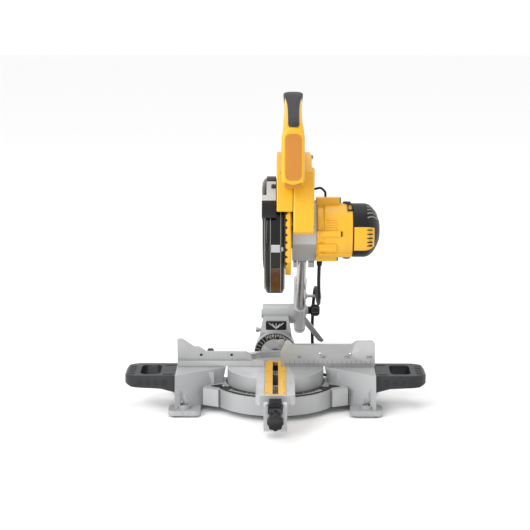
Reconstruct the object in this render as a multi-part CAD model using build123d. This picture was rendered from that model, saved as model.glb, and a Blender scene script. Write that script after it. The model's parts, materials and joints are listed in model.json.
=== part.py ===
"""Sliding compound mitre saw with a 216 mm blade, shown with the head raised and pulled forward.

Frame: the origin is on the bench plane, at the middle of the four bench-bolt holes, which is also
the turntable axis. +X is the operator's right, +Y points away from the operator, +Z is up.
All lengths are millimetres. The carriage and the head are drawn with the rails level and are then
lifted about the chop pivot to the raised rest position.
"""
from build123d import *
from math import atan2, cos, pi, radians, sin, tan
import os

# ---- driving dimensions ---------------------------------------------------------------------
TABLE_Z = 80.0              # working surface above the bench
TABLE_R = 101.0             # turntable top
RING_R = 134.0              # outer wall of the base ring
RING_Z = 50.0               # ledge that carries the mitre scale
FENCE_Z = 134.0             # highest point of the right fence
WING_X = 207.0              # outer wall of the base
FOOT_X, FOOT_Y = 187.0, 82.0    # bench-bolt holes
BENCH_HOLE_R = 4.5
RUBBER = 3.0                # rubber foot height
ARM_HALF = 39.0             # half width of the mitre arm
ARM_FRONT = -218.0
KNOB_Z = 49.0               # axis of the mitre lock knob
GAP = 0.4                   # gap between parts that pass each other
RUN = 0.05                  # radial running clearance

BLADE_R = 108.0
BLADE_T = 2.4
PIVOT_Y, PIVOT_Z = 180.0, 152.0     # chop pivot
RAISE = 36.0                # lift of the head at rest, degrees
BLADE_Y, BLADE_Z = -158.0, 178.0    # blade centre with the rails level
MOTOR_Y, MOTOR_Z = -200.0, 173.0    # motor axis with the rails level
MOTOR_R = 53.5
RAIL_X = 54.0
RAIL_R = 9.0
LOW_RAIL_Z, TOP_RAIL_Z = 141.0, 197.0
RAIL_FRONT, RAIL_REAR = -205.0, 232.0
GUARD_R = 118.0
GUARD_LEFT, GUARD_RIGHT = -25.5, 31.0
SEAM_X = 34.0               # plane where the two handle shells meet
CORD_R = 3.5
SPRING_END = -11.0          # inner end of the return-spring recess
CLAMP_X, CLAMP_Z = -138.0, 101.0
FENCE_BOLTS = (-196, -118, 118, 184)
BOLT_Y = 24.5
FACING_HOLES = (93.5, 157)

os.makedirs("parts", exist_ok=True)
UP = Pos(0, PIVOT_Y, PIVOT_Z) * Rot(-RAISE, 0, 0) * Pos(0, -PIVOT_Y, -PIVOT_Z)
NODES = {}


# ---- drawing helpers --------------------------------------------------------------------------
def outline(points, radius=0.0):
    """A closed flat outline, with every corner rounded when a radius is given."""
    face = Polygon(*points, align=None)
    if radius:
        face = fillet(face.vertices(), radius)
    return face


def prism_x(face, x0, x1):
    return extrude(Plane.YZ.offset(x0) * face, amount=x1 - x0, dir=(1, 0, 0))


def prism_y(face, y0, y1):
    return extrude(Plane.XZ.offset(-y0) * face, amount=y1 - y0, dir=(0, 1, 0))


def prism_z(face, z0, z1):
    return extrude(Plane.XY.offset(z0) * face, amount=z1 - z0, dir=(0, 0, 1))


def box(x0, x1, y0, y1, z0, z1):
    return Pos((x0 + x1) / 2, (y0 + y1) / 2, (z0 + z1) / 2) * Box(x1 - x0, y1 - y0, z1 - z0)


def disc_x(y, z, radius, x0, x1):
    return Pos((x0 + x1) / 2, y, z) * Rot(0, 90, 0) * Cylinder(radius, x1 - x0)


def disc_y(x, z, radius, y0, y1):
    return Pos(x, (y0 + y1) / 2, z) * Rot(90, 0, 0) * Cylinder(radius, y1 - y0)


def disc_z(x, y, radius, z0, z1):
    return Pos(x, y, (z0 + z1) / 2) * Cylinder(radius, z1 - z0)


def rod(start, end, radius, end_radius=None):
    """A round bar, or a cone when the end radius is given."""
    start, end = Vector(*start), Vector(*end)
    step = end - start
    place = Plane(origin=start, z_dir=step)
    if end_radius is None:
        return extrude(place * Circle(radius), amount=step.length)
    tip = Plane(origin=end, z_dir=step, x_dir=place.x_dir)
    return loft([place * Circle(radius), tip * Circle(end_radius)])


def hex_x(y, z, across, x0, x1):
    return prism_x(Pos(y, z) * RegularPolygon(across / 2, 6, major_radius=False), x0, x1)


def group(*shapes):
    """Several separate solids kept in one node."""
    solids = []
    for shape in shapes:
        solids += shape.solids()
    return Compound(children=solids)


def add(name, shape, lifted=False):
    NODES[name] = UP * shape if lifted else shape


# ---- base ---------------------------------------------------------------------------------------
def wing(side):
    """One hollow wing of the base: flat top, front wall flaring down to the foot."""
    top = [(104, -5), (WING_X, -75), (WING_X, 60), (104, 60)]
    low = [(118, -22), (WING_X, -98), (WING_X, 98), (118, 84)]
    top_in = [(110, 0), (WING_X - 6, -64), (WING_X - 6, 54), (110, 54)]
    low_in = [(124, -14), (WING_X - 6, -89), (WING_X - 6, 90), (124, 76)]
    outer = loft([Plane.XY.offset(12) * outline(low), Plane.XY.offset(TABLE_Z) * outline(top)])
    inner = loft([Plane.XY.offset(11) * outline(low_in), Plane.XY.offset(74) * outline(top_in)])
    shape = outer - inner
    for rib_y in (-30, 12, 48):
        shape += box(128, WING_X - 4, rib_y, rib_y + 4, 16, 76)
    return shape if side > 0 else mirror(shape, about=Plane.YZ)


def foot(sx, sy):
    pad = prism_z(Pos(FOOT_X, sy * FOOT_Y) * RectangleRounded(66, 48, 12), RUBBER, 14)
    boss = disc_z(FOOT_X, sy * FOOT_Y, 13, 0, 20)
    shape = pad + boss - disc_z(FOOT_X, sy * FOOT_Y, BENCH_HOLE_R, -1, 30)
    return shape if sx > 0 else mirror(shape, about=Plane.YZ)


def base_casting():
    shape = disc_z(0, 0, RING_R, 12, RING_Z)
    shape += wing(1) + wing(-1)
    for side in (-1, 1):
        shape += prism_z(outline([(side * 100, -30), (side * 118, -76), (side * 150, -62),
                                  (side * 146, -20)]), 14, RING_Z)
        shape += box(min(side * 60, side * 200), max(side * 60, side * 200), 60, 74, 12, 46)
    shape -= disc_z(0, 0, TABLE_R + 3.5, 20, TABLE_Z + 5)
    shape -= prism_z(ring_sector(TABLE_R + 2, 220, 90, 77), 26, TABLE_Z + 5)
    shape -= disc_z(0, 0, 6, 0, 30)
    for sx in (-1, 1):
        for sy in (-1, 1):
            shape += foot(sx, sy)
            shape -= disc_z(sx * FOOT_X, sy * FOOT_Y, BENCH_HOLE_R, -1, 40)
            shape -= disc_z(sx * FOOT_X, sy * FOOT_Y, 9, 20, 46)
    return shape


def carry_handle(side):
    plan = Pos(WING_X + 53, -17) * Rectangle(106, 100)
    plan = fillet(plan.vertices().sort_by(Axis.X)[2:], 30)
    hole = Pos(WING_X + 53, -18.5) * RectangleRounded(42, 71, 12)
    side_view = outline([(WING_X, 42), (WING_X + 30, 50), (WING_X + 92, 53), (WING_X + 106, 58),
                         (WING_X + 106, 73), (WING_X + 101, 78), (WING_X, 78)])
    shape = prism_z(plan, 30, 90) & prism_y(side_view, -80, 50)
    shape -= prism_z(hole, 30, 90)
    return shape if side > 0 else mirror(shape, about=Plane.YZ)


def ring_sector(r_in, r_out, mid, half):
    """Flat ring piece about the origin, between two angles given in degrees."""
    steps = 24
    angles = [radians(mid - half + 2 * half * i / steps) for i in range(steps + 1)]
    outer = [(r_out * cos(a), r_out * sin(a)) for a in angles]
    inner = [(r_in * cos(a), r_in * sin(a)) for a in reversed(angles)]
    return outline(outer + inner)


def mitre_scale_plate():
    plate = prism_z(ring_sector(TABLE_R + 6, RING_R - 3, -90, 62), RING_Z, RING_Z + 1.6)
    for side in (-1, 1):
        ear = outline([(side * 104, -62), (side * 134, -47), (side * 112, -36)])
        plate += prism_z(ear, RING_Z, RING_Z + 1.6)
    for stop in (-50, -45, -31.6, -22.5, -15, 0, 15, 22.5, 31.6, 45, 50):
        a = radians(stop - 90)
        plate -= disc_z(RING_R * cos(a), RING_R * sin(a), 4.2, RING_Z - 1, RING_Z + 3)
    for side in (-1, 1):
        plate -= disc_z(side * 106, -50, 2.2, RING_Z - 1, RING_Z + 3)
    return plate


def fence_casting():
    """Fixed fence: low left strip, full-height right face and the bow that joins them behind."""
    bottom = TABLE_Z + GAP
    left = outline([(-206, bottom), (-19, bottom), (-19, 92), (-206, 92)])
    low = FENCE_Z - 7
    right = outline([(11, bottom), (209, bottom), (209, FENCE_Z - 5), (204, FENCE_Z), (170, FENCE_Z),
                     (160, low), (36, low), (30, FENCE_Z), (22, FENCE_Z), (11, 110)])
    shape = prism_y(left, 0, 12) + prism_y(right, 0, 12)
    shape += prism_z(ring_sector(76, 92, 90, 84), bottom, 91.6)
    for x0, x1 in ((-206, -84), (84, 209)):
        shape += box(x0, x1, 0, 38, bottom, 87)
    for x in (100, 150, 196):
        shape += prism_x(outline([(12, 86), (36, 86), (12, 122)]), x, x + 5)
    shape -= prism_z(ring_sector(TABLE_R + 2, 220, 90, 76), TABLE_Z, 95)
    shape -= prism_z(outline([(-23.5, -1), (-39, 13), (18, 13), (10.5, -1)]), TABLE_Z, 95)
    for x in FACING_HOLES:
        shape -= disc_y(x, 107, 3.0, -5, 20)
    for x in FENCE_BOLTS:
        shape -= disc_z(x, BOLT_Y, 3.0, 70, 95)
    return shape


def left_fence():
    """Upper left fence, which slides out to the left to clear a tilted head."""
    face = outline([(-206, 92 + GAP), (-48, 92 + GAP), (-52, 104), (-62, 111), (-146, 111), (-161, 121),
                    (-171, 121), (-196, 138), (-206, 138)])
    shape = prism_y(face, 0, 11) + box(-190, -84, 11, 18, 96, 108)
    shape += box(-164, -112, 12 + GAP, 18, 89, 108)
    for x in (-156, -92):
        shape -= disc_y(x, 105, 3.0, -5, 12)
    return shape - disc_y(CLAMP_X, CLAMP_Z, 3.05, 5, 25)


def knob_profile(teeth, radius, depth):
    """Lobed outline of a hand knob."""
    steps = teeth * 6
    points = []
    for i in range(steps):
        a = 2 * pi * i / steps
        r = radius - depth * (0.5 - 0.5 * cos(teeth * a))
        points.append((r * cos(a), r * sin(a)))
    return outline(points)


def fence_clamp_knob():
    grip = prism_y(Pos(CLAMP_X, CLAMP_Z) * knob_profile(6, 9.5, 1.4), 24, 39)
    return grip + disc_y(CLAMP_X, CLAMP_Z, 3.0, 12.5, 26) + disc_y(CLAMP_X, CLAMP_Z, 7, 18 + GAP, 25)


# ---- turntable ------------------------------------------------------------------------------------
def turntable_casting():
    shape = disc_z(0, 0, TABLE_R, 20.4, TABLE_Z)
    shape -= disc_z(0, 0, TABLE_R - 7, 19, 70) - disc_z(0, 0, 16, 19, 70)
    for angle in range(0, 360, 60):
        shape += Rot(0, 0, angle) * box(15, TABLE_R - 4, -2, 2, 24, 68)
    arm = outline([(-ARM_HALF, 0), (-ARM_HALF, ARM_FRONT + 8), (-ARM_HALF + 8, ARM_FRONT),
                   (ARM_HALF - 8, ARM_FRONT), (ARM_HALF, ARM_FRONT + 8), (ARM_HALF, 0)])
    shape += prism_z(arm, 60, TABLE_Z) - prism_z(offset(arm, -6), 56, 74)
    nose_side = outline([(-200, 60), (-246, TABLE_Z - 4), (-252, TABLE_Z - 12), (-252, 20), (-246, 16),
                         (-226, 16), (-206, 40)])
    shape += prism_x(nose_side, -23, 23)
    shape -= box(-15, 15, -262, -232, 52, 90)
    shape -= disc_y(0, KNOB_Z, 6, -260, -190)
    # rear boss that carries the tilting arm
    boss = disc_y(0, TABLE_Z, 46, 106, 128) + box(-40, 40, 84, 128, 53, 66)
    shape += boss - box(-60, 60, 80, 140, 20, 53) - box(-60, 60, 60, 104, 78, 130)
    shape += disc_y(0, TABLE_Z, 32, 104, 110) - box(-60, 60, 60, 140, 20, 53)
    shape -= disc_y(0, TABLE_Z, 12.2, 101, 109)
    shape -= disc_y(0, TABLE_Z, 6 + RUN, 80, 140)
    shape -= disc_z(0, 0, 5 + RUN, 10, 76)
    # recess and slot for the kerf plate
    shape -= box(-22, 22, -211, 46, 77, 90)
    shape -= box(-13, 13, -202, 42, 66, 90)
    return shape


def kerf_plate():
    plate = prism_z(Pos(0, -82.5) * RectangleRounded(43, 255, 4), 77, TABLE_Z)
    plate -= box(-5.6, 5.6, -205.5, 40, 70, 90)
    for y in (-198, -120, -40, 40):
        for side in (-1, 1):
            plate -= disc_z(side * 17, y, 2.2, 70, 90)
    return plate


def kerf_plate_screws():
    screws = []
    for y in (-198, -120, -40, 40):
        for side in (-1, 1):
            screws.append(disc_z(side * 17, y, 2.1, 77.2, TABLE_Z - 0.3))
    return group(*screws)


def mitre_pointer():
    tongue = outline([(-8, -101.3), (8, -101.3), (8, -112), (0, -121), (-8, -112)])
    return prism_z(tongue, 54, 55.5) + box(-8, 8, -102.8, -101.3, 54, 60)


def bevel_scale():
    """Black arc with the tilt scale, on the front of the rear boss."""
    arc = ring_sector(33, 45, 70, 105)
    return prism_y(Pos(0, TABLE_Z) * arc, 104.6, 106) - box(-60, 60, 90, 120, 20, 67)


def mitre_lock_knob():
    grip = prism_y(Pos(0, KNOB_Z) * knob_profile(8, 16, 2.0), -300, -272)
    return grip + disc_y(0, KNOB_Z, 11, -272, -258) - disc_y(0, KNOB_Z, 4, -290, -255)


def mitre_latch():
    """Press-down detent latch in the nose of the mitre arm."""
    return prism_x(outline([(-258, 68), (-258, 75), (-236, 80), (-236, 62), (-246, 62)]), -12.5, 12.5)


# ---- tilting arm ----------------------------------------------------------------------------------
def bevel_arm_casting():
    shape = disc_y(0, TABLE_Z, 44, 128 + GAP, 156)
    side = outline([(130, 88), (156, 88), (166, 124), (170, PIVOT_Z), (152, PIVOT_Z), (132, 120)])
    front = outline([(-40, 84), (40, 84), (28, PIVOT_Z), (-26, PIVOT_Z)])
    shape += prism_x(side, -42, 42) & prism_y(front, 120, 190)
    shape += disc_x(PIVOT_Y, PIVOT_Z, 21.5, -28, 31)
    shape += box(-24, 26, 156, 178, 128, 150)
    for x in (-20, -1.5, 17):
        shape += prism_x(outline([(129, 106), (134, 96), (158, PIVOT_Z - 4), (150, PIVOT_Z - 2)]), x, x + 5)
    shape -= disc_x(PIVOT_Y, PIVOT_Z, 10.5, -40, 40)
    shape -= disc_y(0, TABLE_Z, 6 + RUN, 120, 170)
    shape -= disc_x(PIVOT_Y, PIVOT_Z, 17, -40, SPRING_END)
    shape -= disc_x(146, 124, 4 + RUN, -60, -18)
    return shape


def return_spring():
    """Torsion spring in a recess at the left end of the barrel: turns of wire side by side."""
    wire = 1.45
    turns = []
    for i in range(4):
        x = SPRING_END - 1.8 - 3.0 * i
        turns.append(Pos(x, PIVOT_Y, PIVOT_Z) * Rot(0, 90, 0) * Torus(13.5, wire))
    return group(*turns)


def bevel_lock_lever():
    hub = disc_y(0, TABLE_Z, 17, 174, 190)
    blade = outline([(-8, 72), (0, 66), (50, 48), (60, 51), (62, 58), (54, 65), (12, 90)])
    return hub + prism_y(blade, 178, 188) - disc_y(0, TABLE_Z, 6.4, 160, 182)


# ---- carriage, drawn with the rails level --------------------------------------------------------
def rail_carriage():
    shape = disc_y(RAIL_X, LOW_RAIL_Z, 14, 114, 217) + disc_y(RAIL_X, TOP_RAIL_Z, 14, 98, 218)
    shape += box(44, 64, 122, 214, LOW_RAIL_Z, TOP_RAIL_Z)
    shape -= box(60, 70, 132, 204, 157, 181)
    shape += disc_x(PIVOT_Y, PIVOT_Z, 22, 31 + GAP, 47)
    shape += disc_x(135, LOW_RAIL_Z, 9, 60, 71) + disc_x(116, 167, 8, 46, 66)
    for rail_z in (LOW_RAIL_Z, TOP_RAIL_Z):
        shape -= disc_y(RAIL_X, rail_z, 11.5, 90, 240)
    shape -= disc_x(PIVOT_Y, PIVOT_Z, 8, 25, 42)
    shape -= disc_x(135, LOW_RAIL_Z, 4.05, 55, 80)
    return shape


def linear_bearings():
    sleeves = []
    for rail_z, ends in ((LOW_RAIL_Z, ((114, 128), (195, 217))), (TOP_RAIL_Z, ((98, 120), (196, 218)))):
        for y0, y1 in ends:
            bore = disc_y(RAIL_X, rail_z, RAIL_R + RUN, y0 - 1, y1 + 1)
            sleeves.append(disc_y(RAIL_X, rail_z, 11.5, y0, y1) - bore)
    return group(*sleeves)


def chop_pivot_shaft():
    shaft = disc_x(PIVOT_Y, PIVOT_Z, 8, -26, 42)
    return shaft + disc_x(PIVOT_Y, PIVOT_Z, 16, -28, -25) + hex_x(PIVOT_Y, PIVOT_Z, 18, -31, -28)


def pivot_bushes():
    bushes = []
    for x0 in (SPRING_END, 15):
        bore = disc_x(PIVOT_Y, PIVOT_Z, 8 + RUN, x0 - 1, x0 + 18)
        bushes.append(disc_x(PIVOT_Y, PIVOT_Z, 10.5, x0, x0 + 16) - bore)
    return group(*bushes)


def rail_lock_knob():
    ball = Pos(88, 135, LOW_RAIL_Z) * Sphere(13)
    flat = box(96, 110, 110, 160, 110, 170)
    stem = disc_x(135, LOW_RAIL_Z, 4, RAIL_X + RAIL_R + 1, 90) + disc_x(135, LOW_RAIL_Z, 7, 71 + GAP, 90)
    return ball - flat + stem


def carriage_clamp_bolt():
    return disc_x(116, 167, 3.4, 66, 96) + hex_x(116, 167, 13, 92, 100) + disc_x(116, 167, 6, 66, 69)


def cord_guide():
    """Strip bracket that leads the mains cord away from the rails, in raised coordinates."""
    strip = outline([(63, 146), (69, 148), (107, 98), (101, 94), (93, 98), (66, 132)])
    return prism_y(strip, 150, 156)


# ---- head, drawn with the rails level ------------------------------------------------------------
def rail_end_bracket():
    face = Pos(RAIL_X, (LOW_RAIL_Z + TOP_RAIL_Z) / 2) * RectangleRounded(25, 82, 11)
    plate = prism_y(face, RAIL_REAR - 10, RAIL_REAR + 4)
    for rail_z in (LOW_RAIL_Z, TOP_RAIL_Z):
        plate -= disc_y(RAIL_X, rail_z, RAIL_R, RAIL_REAR - 20, RAIL_REAR)
    return plate


def gear_case_block(grow=0.0):
    """Outer form of the gear case; a positive grow gives the space that its neighbours leave."""
    body = outline([(-224, 130), (-150, 128.5), (-138, 136), (-138, 206), (-152, 214), (-236, 222),
                    (-250, 196), (-248, 150)], 5)
    return prism_x(offset(body, grow) if grow else body, 33.5 - grow, 80)


def gear_case():
    """Cast case that clamps both rails, carries the spindle and holds the motor."""
    shape = gear_case_block() + disc_x(MOTOR_Y, MOTOR_Z, 44, 75.5, 80)
    shape += disc_x(BLADE_Y, BLADE_Z, 23.5, 8, 33.5)
    for z0 in (LOW_RAIL_Z - 12.5, TOP_RAIL_Z - 12):
        shape += box(36, 43, -140, -118, z0, z0 + 20) + box(66, 78, -140, -118, z0, z0 + 20)
    for rail_z in (LOW_RAIL_Z, TOP_RAIL_Z):
        shape -= disc_y(RAIL_X, rail_z, RAIL_R, RAIL_FRONT, 0)
    shape -= disc_x(BLADE_Y, BLADE_Z, 33.5, 34.5, 44.5)
    shape -= disc_x(MOTOR_Y, MOTOR_Z, 13.5, 34.5, 44.5)
    shape -= disc_x(BLADE_Y, BLADE_Z, 8 + RUN, 5, 46.5)
    shape -= disc_x(MOTOR_Y, MOTOR_Z, 6 + RUN, 40, 90)
    return shape - spindle_lock_button(radius=6.3, bottom=203.0)


def arc_points(y, z, radius, start, end, steps):
    """Points on an arc in the side view. Angles run from the front (0) down under the axis (90)."""
    points = []
    for i in range(steps + 1):
        a = radians(start + (end - start) * i / steps)
        points.append((y - radius * cos(a), z - radius * sin(a)))
    return points


def upper_blade_guard():
    """Fixed guard: a shell over the top of the blade and a wall on the gear-case side."""
    top = prism_x(outline(arc_points(BLADE_Y, BLADE_Z, GUARD_R, -188, -8, 24)), GUARD_LEFT, GUARD_RIGHT)
    shape = top + disc_x(BLADE_Y, BLADE_Z, GUARD_R, 19, GUARD_RIGHT)
    # the wall ends above the table in front, and above the fence behind the spindle
    shape -= box(15, 40, BLADE_Y - 150, BLADE_Y + 150, 0, TABLE_Z + 5)
    shape -= box(15, 40, BLADE_Y - 4, BLADE_Y + 150, 0, FENCE_Z + 5)
    shape -= box(15, 40, BLADE_Y - 16, BLADE_Y + 150, 0, TABLE_Z + 20)
    shape -= disc_x(BLADE_Y, BLADE_Z, GUARD_R - 3, GUARD_LEFT + 2.5, GUARD_RIGHT - 3)
    shape -= disc_x(BLADE_Y, BLADE_Z, 24, GUARD_LEFT - 5, -10)
    return shape - disc_x(BLADE_Y, BLADE_Z, 24, 20, 40)


def lower_guard():
    """Turning guard: two side sectors and a rim, hung on a hub ring about the spindle."""
    start, end = -4, 184
    sector = outline(arc_points(BLADE_Y, BLADE_Z, GUARD_R - 4.5, start, end, 28)
                     + arc_points(BLADE_Y, BLADE_Z, 24, end, start, 14))
    inner = outline(arc_points(BLADE_Y, BLADE_Z, GUARD_R - 7, start - 6, end + 6, 28)
                    + arc_points(BLADE_Y, BLADE_Z, 10, end + 6, start - 6, 14))
    shape = prism_x(sector, GUARD_LEFT + 4, 17) - prism_x(inner, GUARD_LEFT + 6, 15)
    hub = disc_x(BLADE_Y, BLADE_Z, 32, 15, 17) - disc_x(BLADE_Y, BLADE_Z, 24, 12, 18)
    return shape + hub


def handle_outline():
    """Side view of the closed handle and the body behind it."""
    return [(-112, 222), (-100, 250), (-112, 286), (-168, 320), (-262, 350), (-318, 388), (-346, 402),
            (-372, 398), (-386, 380), (-416, 300), (-414, 284), (-362, 212), (-346, 206), (-320, 210),
            (-288, 200), (-270, 224), (-238, 226), (-160, 218)]


def handle_opening():
    return [(-372, 296), (-352, 348), (-334, 362), (-288, 330), (-292, 300), (-338, 262), (-352, 266)]


def handle_shell(side):
    """Half of the two-part handle housing: a broad body, a slim closed grip and a front apron."""
    def slab(face, far):
        far = SEAM_X + side * far
        return prism_x(face, min(SEAM_X, far), max(SEAM_X, far))

    body_half = 41.0 if side > 0 else 32.0
    full = outline(handle_outline(), 5)
    rear = outline([(-90, 200), (-90, 300), (-190, 345), (-262, 352), (-292, 330), (-300, 190)])
    nose = outline([(-430, 190), (-430, 300), (-372, 296), (-338, 262), (-300, 252), (-290, 190)])
    apron = outline([(-300, 215), (-288, 198), (-272, 150), (-254.5, 150), (-254.5, 198), (-239, 225.5),
                     (-250, 240)])
    shape = slab(full, 18.5) + slab(full & rear, body_half) + slab(full & nose, 22.0)
    shape += slab(apron, 41.0 if side > 0 else 14.0)
    shape -= prism_x(outline(handle_opening(), 6), -10, 90)
    pocket = outline([(-124, 234), (-118, 276), (-170, 310), (-252, 336), (-282, 300), (-282, 234)], 4)
    shape -= slab(pocket, body_half - 4)
    shape -= disc_x(BLADE_Y, BLADE_Z, GUARD_R + GAP, -40, GUARD_RIGHT + GAP)
    shape -= gear_case_block(GAP)
    shape -= lock_off_button(radius=6.3, depth=12.5, top=8)
    shape -= disc_z(71, -190, 9, 200, 250)
    return shape - grip_overmould() - trigger_pocket()


def grip_overmould():
    """Soft strip along the front of the grip, standing a little proud of the shells."""
    strip = outline([(-346, 404), (-374, 400), (-389, 381), (-418, 303), (-413, 301), (-384, 378),
                     (-371, 395), (-346, 399)])
    return prism_x(strip, SEAM_X - 9, SEAM_X + 9)


def trigger():
    """Switch trigger in the finger opening."""
    face = outline([(-373, 301), (-360, 341), (-353, 341), (-353, 318), (-363, 297)])
    pin = disc_x(-356.5, 338, 2, SEAM_X - 7.3, SEAM_X + 7.3)
    return prism_x(face, SEAM_X - 7, SEAM_X + 7) + pin


def trigger_pocket():
    """Space in the grip that the trigger swings into."""
    face = outline([(-386, 296), (-368, 345), (-350, 345), (-360, 292)])
    return prism_x(face, SEAM_X - 7.5, SEAM_X + 7.5)


def lock_off_button(radius=6.0, depth=9.0, top=3.0):
    """Round safety button on the slope above the finger opening."""
    step = Vector(0, 0.561, 0.828)
    foot_point = Vector(SEAM_X, -290, 369) - step * depth
    return extrude(Plane(origin=foot_point, z_dir=step) * Circle(radius), amount=depth + top)


def spindle_lock_button(radius=6.0, bottom=209.0):
    """Button on top of the gear case that stops the spindle for a blade change."""
    return disc_z(71, -190, radius, bottom, 226)


def guard_bracket():
    """Black bracket wrapped over the upper left edge of the blade guard."""
    over = outline(arc_points(BLADE_Y, BLADE_Z, GUARD_R + 5, -100, -30, 14)
                   + arc_points(BLADE_Y, BLADE_Z, GUARD_R + GAP, -30, -100, 14))
    cheek = outline(arc_points(BLADE_Y, BLADE_Z, GUARD_R + 5, -100, -30, 14)
                    + arc_points(BLADE_Y, BLADE_Z, 84, -34, -96, 10))
    left = GUARD_LEFT - GAP
    return prism_x(over, left, 1.5) + prism_x(cheek, left - 3, left)


def brush_caps():
    caps = []
    for rim in (MOTOR_Y - MOTOR_R, MOTOR_Y + MOTOR_R):
        caps.append(disc_y(138, MOTOR_Z, 8, rim - 1.5, rim + 1.5))
    return group(*caps)


def motor_housing():
    shape = disc_x(MOTOR_Y, MOTOR_Z, MOTOR_R, 80, 152) - disc_x(MOTOR_Y, MOTOR_Z, MOTOR_R - 4, 84, 153)
    shape -= disc_x(MOTOR_Y, MOTOR_Z, 7, 70, 90)
    shape -= brush_caps()
    for angle in range(0, 360, 90):
        bar = box(80, 152, MOTOR_R - 3.5, MOTOR_R + 3, -6, 6)
        shape += Pos(0, MOTOR_Y, MOTOR_Z) * Rot(angle + 45, 0, 0) * bar
    return shape


def motor_end_cap():
    """Domed rear cap with cooling slots."""
    r = MOTOR_R
    profile = [(0, 205), (r * 0.55, 205), (r * 0.8, 201), (r * 0.94, 192), (r, 178), (r, 152), (r - 4, 152),
               (r - 4, 176), (r * 0.86, 189), (r * 0.74, 197), (r * 0.5, 200), (0, 200)]
    face = Plane.XZ * outline([(a, b) for a, b in profile])
    cap = revolve(face, axis=Axis.Z)
    cap = Pos(0, MOTOR_Y, MOTOR_Z) * Rot(0, 90, 0) * cap
    for angle in range(-40, 41, 16):
        slot = Pos(0, MOTOR_Y, MOTOR_Z) * Rot(angle, 0, 0) * box(168, 210, -2, 2, -46, -16)
        cap -= slot
    return cap


def armature():
    """Armature with its core, commutator, fan and pinion."""
    axis = (MOTOR_Y, MOTOR_Z)
    shape = disc_x(*axis, 6, 46, 192) + disc_x(*axis, 26, 96, 136) + disc_x(*axis, 13, 140, 158)
    shape += disc_x(*axis, 40, 86, 88)
    for angle in range(0, 360, 40):
        shape += Pos(0, *axis) * Rot(angle, 0, 0) * box(87, 93, 18, 40, -1, 1)
    line = atan2(BLADE_Z - MOTOR_Z, BLADE_Y - MOTOR_Y)
    phase = 15 * line / (2 * pi) - 0.5
    return shape + disc_x(*axis, 4.5, 36, 47) + gear(*axis, 15, 10.5, 37, 43, phase)


def gear(y, z, teeth, pitch_r, x0, x1, phase):
    """Plain spur gear with slim teeth, so that the pair runs with backlash."""
    points = []
    pitch = 2 * pi / teeth
    for i in range(teeth):
        middle = (i + phase) * pitch
        root, tip = pitch_r - 1.6, pitch_r + 1.0
        for r, part in ((root, -0.30), (tip, -0.09), (tip, 0.09), (root, 0.30)):
            a = middle + part * pitch
            points.append((y + r * cos(a), z + r * sin(a)))
    return prism_x(outline(points), x0, x1)


def stator():
    axis = (MOTOR_Y, MOTOR_Z)
    return disc_x(*axis, MOTOR_R - 4, 98, 134) - disc_x(*axis, 27, 90, 140)


def spindle():
    shape = disc_x(BLADE_Y, BLADE_Z, 8, 1.2, 46)
    line = atan2(MOTOR_Z - BLADE_Z, MOTOR_Y - BLADE_Y)
    phase = 45 * line / (2 * pi)
    return shape + gear(BLADE_Y, BLADE_Z, 45, 31.5, 37, 43, phase)


def saw_blade():
    """Tooth disc with its bore and expansion slots."""
    teeth = 40
    points = []
    for i in range(teeth):
        for share, drop in ((0.0, 0.0), (0.34, 0.9), (0.62, 7.5), (0.9, 6.5)):
            r = BLADE_R - drop
            a = 2 * pi * (i + share) / teeth
            points.append((BLADE_Y + r * cos(a), BLADE_Z + r * sin(a)))
    disc = prism_x(outline(points), -BLADE_T / 2, BLADE_T / 2)
    for angle in (30, 120, 210, 300):
        disc -= Pos(0, BLADE_Y, BLADE_Z) * Rot(angle, 0, 0) * box(-3, 3, -0.6, 0.6, 88, 112)
    return disc - disc_x(BLADE_Y, BLADE_Z, 6, -5, 5)


def blade_flanges():
    half = BLADE_T / 2
    inner = disc_x(BLADE_Y, BLADE_Z, 21, half, 6) - disc_x(BLADE_Y, BLADE_Z, 8, 0, 10)
    outer = disc_x(BLADE_Y, BLADE_Z, 21, -6, -half) - disc_x(BLADE_Y, BLADE_Z, 6, -10, 0)
    return group(inner, outer)


def arbor_bolt():
    shank = disc_x(BLADE_Y, BLADE_Z, 6, -6, 1.2)
    return shank + disc_x(BLADE_Y, BLADE_Z, 11, -8.5, -6) + hex_x(BLADE_Y, BLADE_Z, 13, -14, -8.5)


# ---- cord, in raised coordinates -----------------------------------------------------------------
RELIEF_START, CORD_EXIT = (89, -96, 343), (88, -90, 315)
HEAD_ROUTE = [CORD_EXIT, (87, -83, 283), (89, -62, 246), (90, -22, 221), (90, 28, 209), (89, 76, 211),
              (88, 118, 223), (87, 152, 219), (85, 177, 196), (83, 186, 166), (82.33, 183.33, 150)]
CARRIAGE_ROUTE = [(82.33, 183.33, 150), (81, 178, 118), (81.5, 178.5, 102)]
ARM_ROUTE = [(81.5, 178.5, 102), (82.19, 179.19, 80), (83.19, 180.29, 58)]
TABLE_ROUTE = [(83.19, 180.29, 58), (84.19, 181.39, 36), (95, 187.5, 16.2), (113.5, 197.5, 4.1),
               (152, 209, 4.1)]
COIL_X, COIL_Y = 170.0, 255.0
COIL_R = 39.0


def cord_tube(name, points):
    """A stretch of cord: straight runs joined by arcs as large as the runs allow."""
    points = [Vector(*p) for p in points]
    radii = []
    for a, b, c in zip(points, points[1:], points[2:]):
        turn = radians((b - a).get_angle(c - b))
        radii.append(0.45 * min((b - a).length, (c - b).length) / tan(turn / 2))
    path = FilletPolyline(*points, radius=radii)
    start = Plane(origin=points[0], z_dir=points[1] - points[0])
    tube = sweep(start * Circle(CORD_R), path=path)
    print(name, "length", round(path.length, 1), "radii", [round(r) for r in radii],
          "volume ratio", round(tube.volume / (pi * CORD_R ** 2 * path.length), 4))
    return tube


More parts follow.
